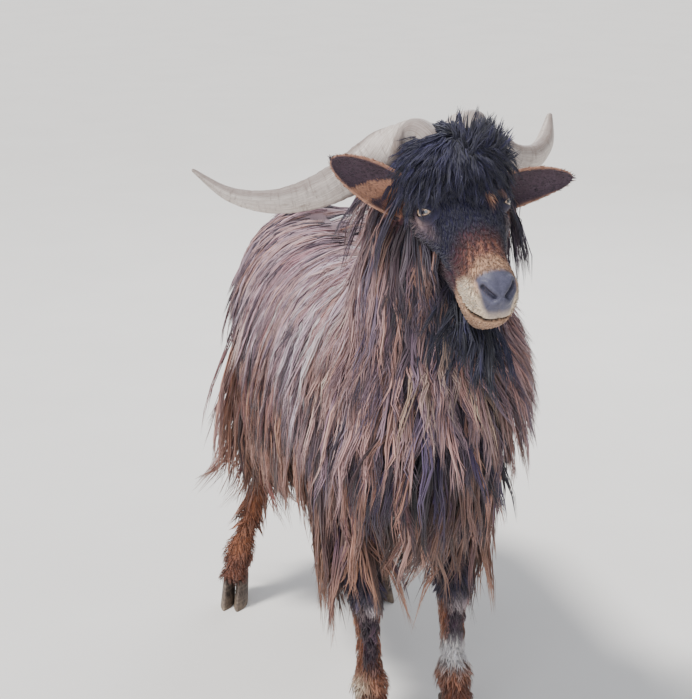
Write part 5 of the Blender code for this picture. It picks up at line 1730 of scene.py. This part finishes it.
def fall(roots, low, high, draw):
    """Lengths that end near the fringe."""
    d = laid_out(roots)
    drop = d[:, 2] - fringe(d)
    ragged = 1 + 0.16 * cloud(d, 0.05, 13)
    return np.clip(drop, low, high) * draw.uniform(0.86, 1.14, len(roots)) * ragged


def trunk_flow(roots, normals, draw):
    d = laid_out(roots)
    side = np.sign(d[:, 0] + draw.normal(0, 0.014, len(d)))
    top = np.clip(normals[:, 2], 0, 1)
    chest = step(-d[:, 1], 0.00, 0.10)
    back = 0.34 * (1 - chest) + 0.18 * cloud(d, 0.20, 12)
    rump = step(d[:, 1], 0.55, 0.64)
    flow = np.stack([side * 0.9 * top, back * (1 - 0.5 * rump), -(1.0 - 0.75 * top)], 1)
    return flow + draw.normal(0, 0.13, flow.shape)


draw = np.random.default_rng(101)
belly, spine = step(-tri_normal[:, 2], 0.45, 0.8), tri_normal[:, 2] > 0.7
weight = ZONES["trunk"] * (1 - 0.75 * belly) * (1 + 0.5 * spine)
roots, normals = scatter(weight, 2240, 11)
high = 0.150 + 0.060 * step(0.56 - roots[:, 2], 0.0, 0.12)
length = fall(roots, 0.085, high, draw)
end = roots[:, 2] - length
# Locks that end high take pale tips, painted as a silvery sheen where their roots lie high; locks
# that end low take sun-bleached tan tips.
tips = 0.45 * step(end, 0.40, 0.60) + 0.65 * step(0.36 - end, 0.0, 0.10)
tips = tips * (1 - near(laid_out(roots), KNEE_CURTAIN, KNEE_SPREAD))
low = step(0.60 - roots[:, 2], 0.0, 0.20)
behind = step(roots[:, 1] - SHIFT.y, 0.20, 0.45)
outer_chest = step(roots[:, 0] - SHIFT.x, 0.05, 0.12) * step(0.10 - roots[:, 1] + SHIFT.y, 0.0, 0.12)
lift = 0.003 + (0.018 + 0.026 * behind) * low + 0.022 * outer_chest
coat_pieces = grow(
    "coat", roots, normals, trunk_flow(roots, normals, draw), length, lift, 0.60,
    strands=9, spread=0.0085 + 0.0035 * low, width=0.0040, wave=0.0038 + 0.0034 * low,
    tips=tips, seed=21, motley=0.36, cling=0.75,
)

# %% Elbows and thighs
# The longest hair hangs from the elbows and from the outside of the thighs, where it flares.
tri_x, tri_y, tri_z = laid_out(tri_middle).T
outer = (tri_normal[:, 0] * tri_x > 0) & (np.abs(tri_normal[:, 0]) > 0.25)
elbow = outer & (tri_y > -0.02) & (tri_y < 0.15) & (tri_z > 0.33) & (tri_z < 0.46)
thigh = outer & (tri_y > 0.44) & (tri_z > 0.32) & (tri_z < 0.54)
for name, mask, count, reach, out, back, tips, seed in (
    ("elbow_hair", elbow & ~ZONES["face"], 120, 0.165, 0.042, 0.02, 0.90, 31),
    ("thigh_hair", thigh, 200, 0.160, 0.088, 0.15, 0.30, 41),
):
    draw = np.random.default_rng(seed + 90)
    roots, normals = scatter(mask * 1.0, count, seed + 91)
    length = np.clip(roots[:, 2] - reach, 0.10, 0.26) * draw.uniform(0.85, 1.08, count)
    flow = hanging((0.0, back, -1.0), roots, 0.10, draw)
    coat_pieces += grow(
        name, roots, normals, flow, length, out, 0.55,
        strands=9, spread=0.0120, width=0.0038, wave=0.0065, tips=tips, seed=seed, motley=0.34,
    )

# %% Neck and chest
draw = np.random.default_rng(102)
roots, normals = scatter(ZONES["neck"] * (1.0 + 0.8 * (tri_z > 0.70)), 965, 12)
length = draw.uniform(0.14, 0.23, len(roots))
flow = hanging((0.0, 0.10, -1.0), roots, 0.12, draw)
coat_pieces += grow(
    "mane", roots, normals, flow, length, 0.022 + 0.030 * step(normals[:, 0], 0.2, 0.8), 0.85,
    strands=9, spread=0.0110, width=0.0040, wave=0.0068, tips=0.28, seed=22, cycles=1.6, motley=0.44,
)

# %% [markdown]
# ### Crown, cheeks and beard
# A dark forelock springs from a whorl between the horns and falls to all sides, over the
# brows and in front of the horns. Long hair also hangs from the back of the jaw, and a beard
# from the chin. They grow from the head by the same rule, with their own lengths and flows.

# %% Forelock
WHORL = (0.000, 0.016, 0.046)


def head_vectors(vectors):
    """Ways given as side, forward and up of the head, turned into the frame."""
    return vectors @ HEAD_TABLE


def head_scatter(mask, count, seed):
    roots, normals = scatter(ZONES["face"] * mask, count, seed)
    return roots, normals, head_place(roots)


tri_head = head_place(tri_middle)
head_x, head_y, head_z = tri_head.T          # side, forward and up
mound = ((tri_head - np.array(MOUND_PLACE)) / np.array(MOUND_SIZE)) ** 2
on_mound = (mound.sum(1) < 1.12) & (head_z > -0.030)
whorl_gap = np.linalg.norm(tri_head - np.array(WHORL), axis=1)
draw = np.random.default_rng(103)
roots, normals, place = head_scatter(on_mound * (1 + 1.5 * (whorl_gap < 0.030)), 560, 13)
flow = unit(place - np.array(WHORL)) + np.array((0.0, 0.25, 0.0)) + draw.normal(0, 0.30, place.shape)
forward = step(place[:, 1], 0.045, 0.075)
length = draw.uniform(0.048, 0.080, len(roots)) * (1 - 0.42 * forward)
coat_pieces += grow(
    "forelock_hair", roots, normals, head_vectors(flow), length, 0.010 - 0.004 * forward, 0.25,
    strands=9, spread=0.0080, width=0.0028, wave=0.0036, tips=0.0, seed=23, rings=4,
)

# The crest stands up on the goat's left and hides the root of that horn.
draw = np.random.default_rng(110)
crest = on_mound & (head_x > 0) & (head_y > 0.028) & (head_y < 0.066) & (head_z > 0.006)
roots, normals, place = head_scatter(crest, 90, 21)
flow = hanging((0.15, -0.70, 0.30), roots, 0.20, draw) + place[:, :1] * (14.0, 0.0, 0.0)
length = draw.uniform(0.035, 0.058, len(roots))
coat_pieces += grow(
    "crest_hair", roots, normals, head_vectors(flow), length, 0.016, 0.0,
    strands=8, spread=0.0075, width=0.0028, wave=0.0030, tips=0.0, seed=51, rings=4, stand=0.50,
)

# %% Cheeks and beard
draw = np.random.default_rng(104)
jaw = (head_y > -0.02) & (head_y < 0.135) & (head_z < -0.046)
temple = (head_y > -0.03) & (head_y < 0.062) & (head_z < -0.010) & (np.abs(head_x) > 0.040)
weight = (jaw | temple) * (1 + 1.5 * (head_x > 0.03))
roots, normals, place = head_scatter(weight, 560, 14)
flow = hanging((0.0, 0.25, -1.0), roots, 0.15, draw)
short_front = 1 - 0.55 * step(place[:, 1], 0.085, 0.130)
lift = 0.012 + 0.008 * step(place[:, 0], 0.02, 0.06) * step(-place[:, 2], 0.03, 0.08)
length = draw.uniform(0.100, 0.180, len(roots)) * short_front
coat_pieces += grow(
    "cheek_hair", roots, normals, flow, length, lift, 0.85,
    strands=8, spread=0.0085, width=0.0030, wave=0.0046, tips=0.20, seed=24, rings=4, motley=0.34,
)
chin = (head_y > 0.125) & (head_y < 0.205) & (head_z < -0.096)
roots, normals, place = head_scatter(chin, 100, 15)
flow = hanging((0.0, 0.05, -1.0), roots, 0.12, draw)
beard = grow(
    "beard_hair", roots, normals, flow, draw.uniform(0.09, 0.165, len(roots)), 0.008, 0.95,
    strands=9, spread=0.0085, width=0.0032, wave=0.0050, tips=0.0, seed=25,
    mark=np.tile(TINTS["soot"], (len(roots), 1)),
)

# A few sun-bleached locks hang over the dark throat.
draw = np.random.default_rng(111)
throat = ZONES["neck"] & (tri_z > 0.60) & (tri_z < 0.70) & (tri_y < -0.09)
roots, normals = scatter(throat & (np.abs(tri_x - 0.015) < 0.045), 11, 22)
flow = hanging((0.0, 0.05, -1.0), roots, 0.12, draw)
coat_pieces += grow(
    "throat_streaks", roots, normals, flow, draw.uniform(0.13, 0.19, len(roots)), 0.040, 0.85,
    strands=9, spread=0.0110, width=0.0028, wave=0.0070, tips=0.2, seed=52,
    mark=np.tile(TINTS["blond"], (len(roots), 1)),
)

# %% [markdown]
# ### Short hair
# The face, ears and lower legs have short hair that lies flat. Here the skin's own finish
# does most of the work, and small flat tufts break the outline and catch the light. They
# are shortest round the nose and lips and grow longer toward the cheeks.

# %% Face
TUFT_RINGS = 2
TUFT_PAINTED_LIGHT = 1.35                             # painted light: short tufts are painted brighter, as hair lying flat is lit in full


def short_hair(name, roots, normals, flow, length, width, lift, seed):
    count = len(roots)
    draw = np.random.default_rng(seed)
    flow = unit(flow - normals * (flow * normals).sum(1, keepdims=True))
    share = np.linspace(0, 1, TUFT_RINGS + 1)[None, :, None]
    length = (length * draw.uniform(0.75, 1.25, count))[:, None, None]
    rise = (lift * draw.uniform(0.6, 1.4, count))[:, None, None]
    start = roots - normals * LIE
    paths = start[:, None] + flow[:, None] * length * share
    paths = paths + normals[:, None] * ((LIE + rise) * np.sin(share * math.pi * 0.55))
    outs = np.repeat(normals[:, None], TUFT_RINGS + 1, axis=1)
    lock = np.arange(count)
    mark, tip = hair_colors(roots, lock, np.zeros(count), seed + 1, TUFT_TONES)
    # Painted light: the tufts are painted brighter than the long locks.
    mark = mark * TUFT_PAINTED_LIGHT
    widths = width * draw.uniform(0.7, 1.3, count)
    chance = draw.random(count)
    return in_pieces(name, count, TUFT_RINGS, lambda label, part: strands_object(
        label, paths[part], outs[part], widths[part], roots[part],
        mark[part], tip[part], chance[part], TUFT_FLAT,
    ))


EYE_CLEAR = 0.0185                           # no tuft grows this near an eye's middle

draw = np.random.default_rng(105)
eye_centers = [np.array(eye_frame(name)[0]) for name in SIDES]
eye_gap = np.min([np.linalg.norm(tri_middle - center, axis=1) for center in eye_centers], axis=0)
bare = (nose_pad(tri_middle) > 0.3) | (nostril_slit(tri_head) > 0.1)
over = mouth_gap(tri_head)[0]
lips = (over > -0.0034) & (over < 0.0060) & (head_y > MOUTH_CORNER - 0.004)
long_haired = (on_mound & (head_z > 0.0)) | (jaw & (head_y < 0.10) & (head_z < -0.07))
face_mask = ~bare & ~lips & ~long_haired & (eye_gap > EYE_CLEAR)
roots, normals, place = head_scatter(face_mask * (1 + 1.2 * step(head_y, 0.05, 0.20)), 12000, 16)
side = np.sign(place[:, 0])
toward_nose = step(place[:, 2], -0.055, -0.015) * step(place[:, 1], 0.02, 0.07)
flow = np.stack([side * 0.25 * (1 - toward_nose), 1.6 * toward_nose - 0.8, -0.35 + 0 * side], 1)
flow = head_vectors(flow + draw.normal(0, 0.16, place.shape))
length = 0.0165 - 0.0105 * step(place[:, 1], 0.07, 0.19)
lip_gap = np.abs(mouth_gap(place)[0])
length = length * (0.45 + 0.55 * step(lip_gap + 0.05 * (place[:, 1] < 0.165), 0.004, 0.020))
coat_pieces += short_hair("face_fur", roots, normals, flow, length, 0.0018, 0.0015, 26)

# %% Ears
draw = np.random.default_rng(106)
roots, normals = scatter(ZONES["ear"] * 1.0, 3000, 17)
ways = np.array([list(ear_frame("left" if r[0] > POLL.x else "right")[1]) for r in roots])
flow = ways + draw.normal(0, 0.18, roots.shape)
coat_pieces += short_hair("ear_fur", roots, normals, flow, 0.0065, 0.0016, 0.0008, 27)

# %% Legs
draw = np.random.default_rng(107)
roots, normals = scatter(ZONES["leg"] & (tri_z < 0.262), 10000, 18)
flow = hanging((0.0, 0.0, -1.0), roots, 0.14, draw)
front = leg_axis_side(roots)
fetlock = np.exp(-(((roots[:, 2] - 0.098) / 0.028) ** 2))
length = 0.0145 + 0.010 * step(-front, 0.2, 0.9) + 0.012 * fetlock * step(-front, -0.3, 0.6)
lift = 0.0046 + 0.003 * fetlock
coat_pieces += short_hair("leg_fur", roots, normals, flow, length, 0.0021, lift, 28)

draw = np.random.default_rng(108)
shaggy = ZONES["leg"] & (tri_z > np.where(tri_y > 0.25, 0.130, 0.075))
roots, normals = scatter(shaggy * (1 - 0.45 * (tri_z < 0.25)), 640, 19)
behind = step(roots[:, 1] - SHIFT.y, 0.20, 0.30)
flow = hanging((0.0, 0.12, -1.0), roots, 0.14, draw) + behind[:, None] * (0.0, 0.25, 0.0)
length = np.clip(roots[:, 2] - 0.228 + 0.12 * behind, 0.022, 0.095)
length = length * draw.uniform(0.85, 1.1, len(roots))
lift = 0.004 + 0.005 * step(roots[:, 2], 0.20, 0.26) + 0.014 * behind
coat_pieces += grow(
    "leg_locks", roots, normals, flow, length, lift, 0.6,
    strands=6, spread=0.0070, width=0.0030, wave=0.0022, tips=0.05, seed=29, rings=4,
)

# %% Tail
draw = np.random.default_rng(109)
roots, normals = scatter(ZONES["tail"] * 1.0, 130, 20)
flow = hanging((0.0, 0.7, -0.6), roots, 0.2, draw)
coat_pieces += grow(
    "tail_hair", roots, normals, flow, draw.uniform(0.05, 0.085, len(roots)), 0.006, 0.5,
    strands=8, spread=0.0075, width=0.0034, wave=0.0035, tips=0.2, seed=30, rings=4,
)

# %% [markdown]
# ## Joining the frame
# Each piece now stands for the solids that it covers, and rides with the body. The goat
# doesn't move, so there is one body.

# %% Ride, replace and measure
FLESH = ["head", "neck", "torso", "tail", "ear_left", "ear_right"]
FLESH += [f"foreleg_{part}_{side}" for part in ("upper", "lower") for side in SIDES]
FLESH += [f"thigh_{side}" for side in SIDES] + [f"hindleg_lower_{side}" for side in SIDES]
for piece in [skin, *eyelids, *eyeballs, *horns, *hooves.values(), *lobes, *coat_pieces, *beard]:
    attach(piece, "root")
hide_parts(*FLESH)
for side, eye, horn_piece in zip(SIDES, eyeballs, horns):
    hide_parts("eye_" + side)
    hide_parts("horn_" + side)
for node, piece in hooves.items():
    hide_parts(node)
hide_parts("forelock")
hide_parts("beard")


FLOOR_REACH = 30.0
ROOM_TINT, ROOM_LIGHT = (0.82, 0.87, 0.96, 1.0), 0.62


def studio():
    """A wide pale floor that fades out of sight, and the room's even light."""
    bm = bmesh.new()
    bmesh.ops.create_circle(bm, cap_ends=True, segments=96, radius=FLOOR_REACH)
    floor = make_object("floor", bm, smooth=False)
    f = Finish("floor", Roughness=0.9)
    soft = f.noise(f.place(), 3.0, 3.0, 0.6)
    color = f.blend(soft, tint(222, 219, 214), tint(232, 229, 224))
    floor.data.materials.append(f.end(Base_Color=color))
    world = bpy.context.scene.world or bpy.data.worlds.new("studio")
    bpy.context.scene.world = world
    world.use_nodes = True
    back = world.node_tree.nodes["Background"]
    back.inputs["Color"].default_value = ROOM_TINT
    back.inputs["Strength"].default_value = ROOM_LIGHT


studio()
shown = [p for p in bpy.data.objects if p.type == "MESH" and not p.hide_render]
print("triangles in all:", sum(tri_count(p) for p in shown))
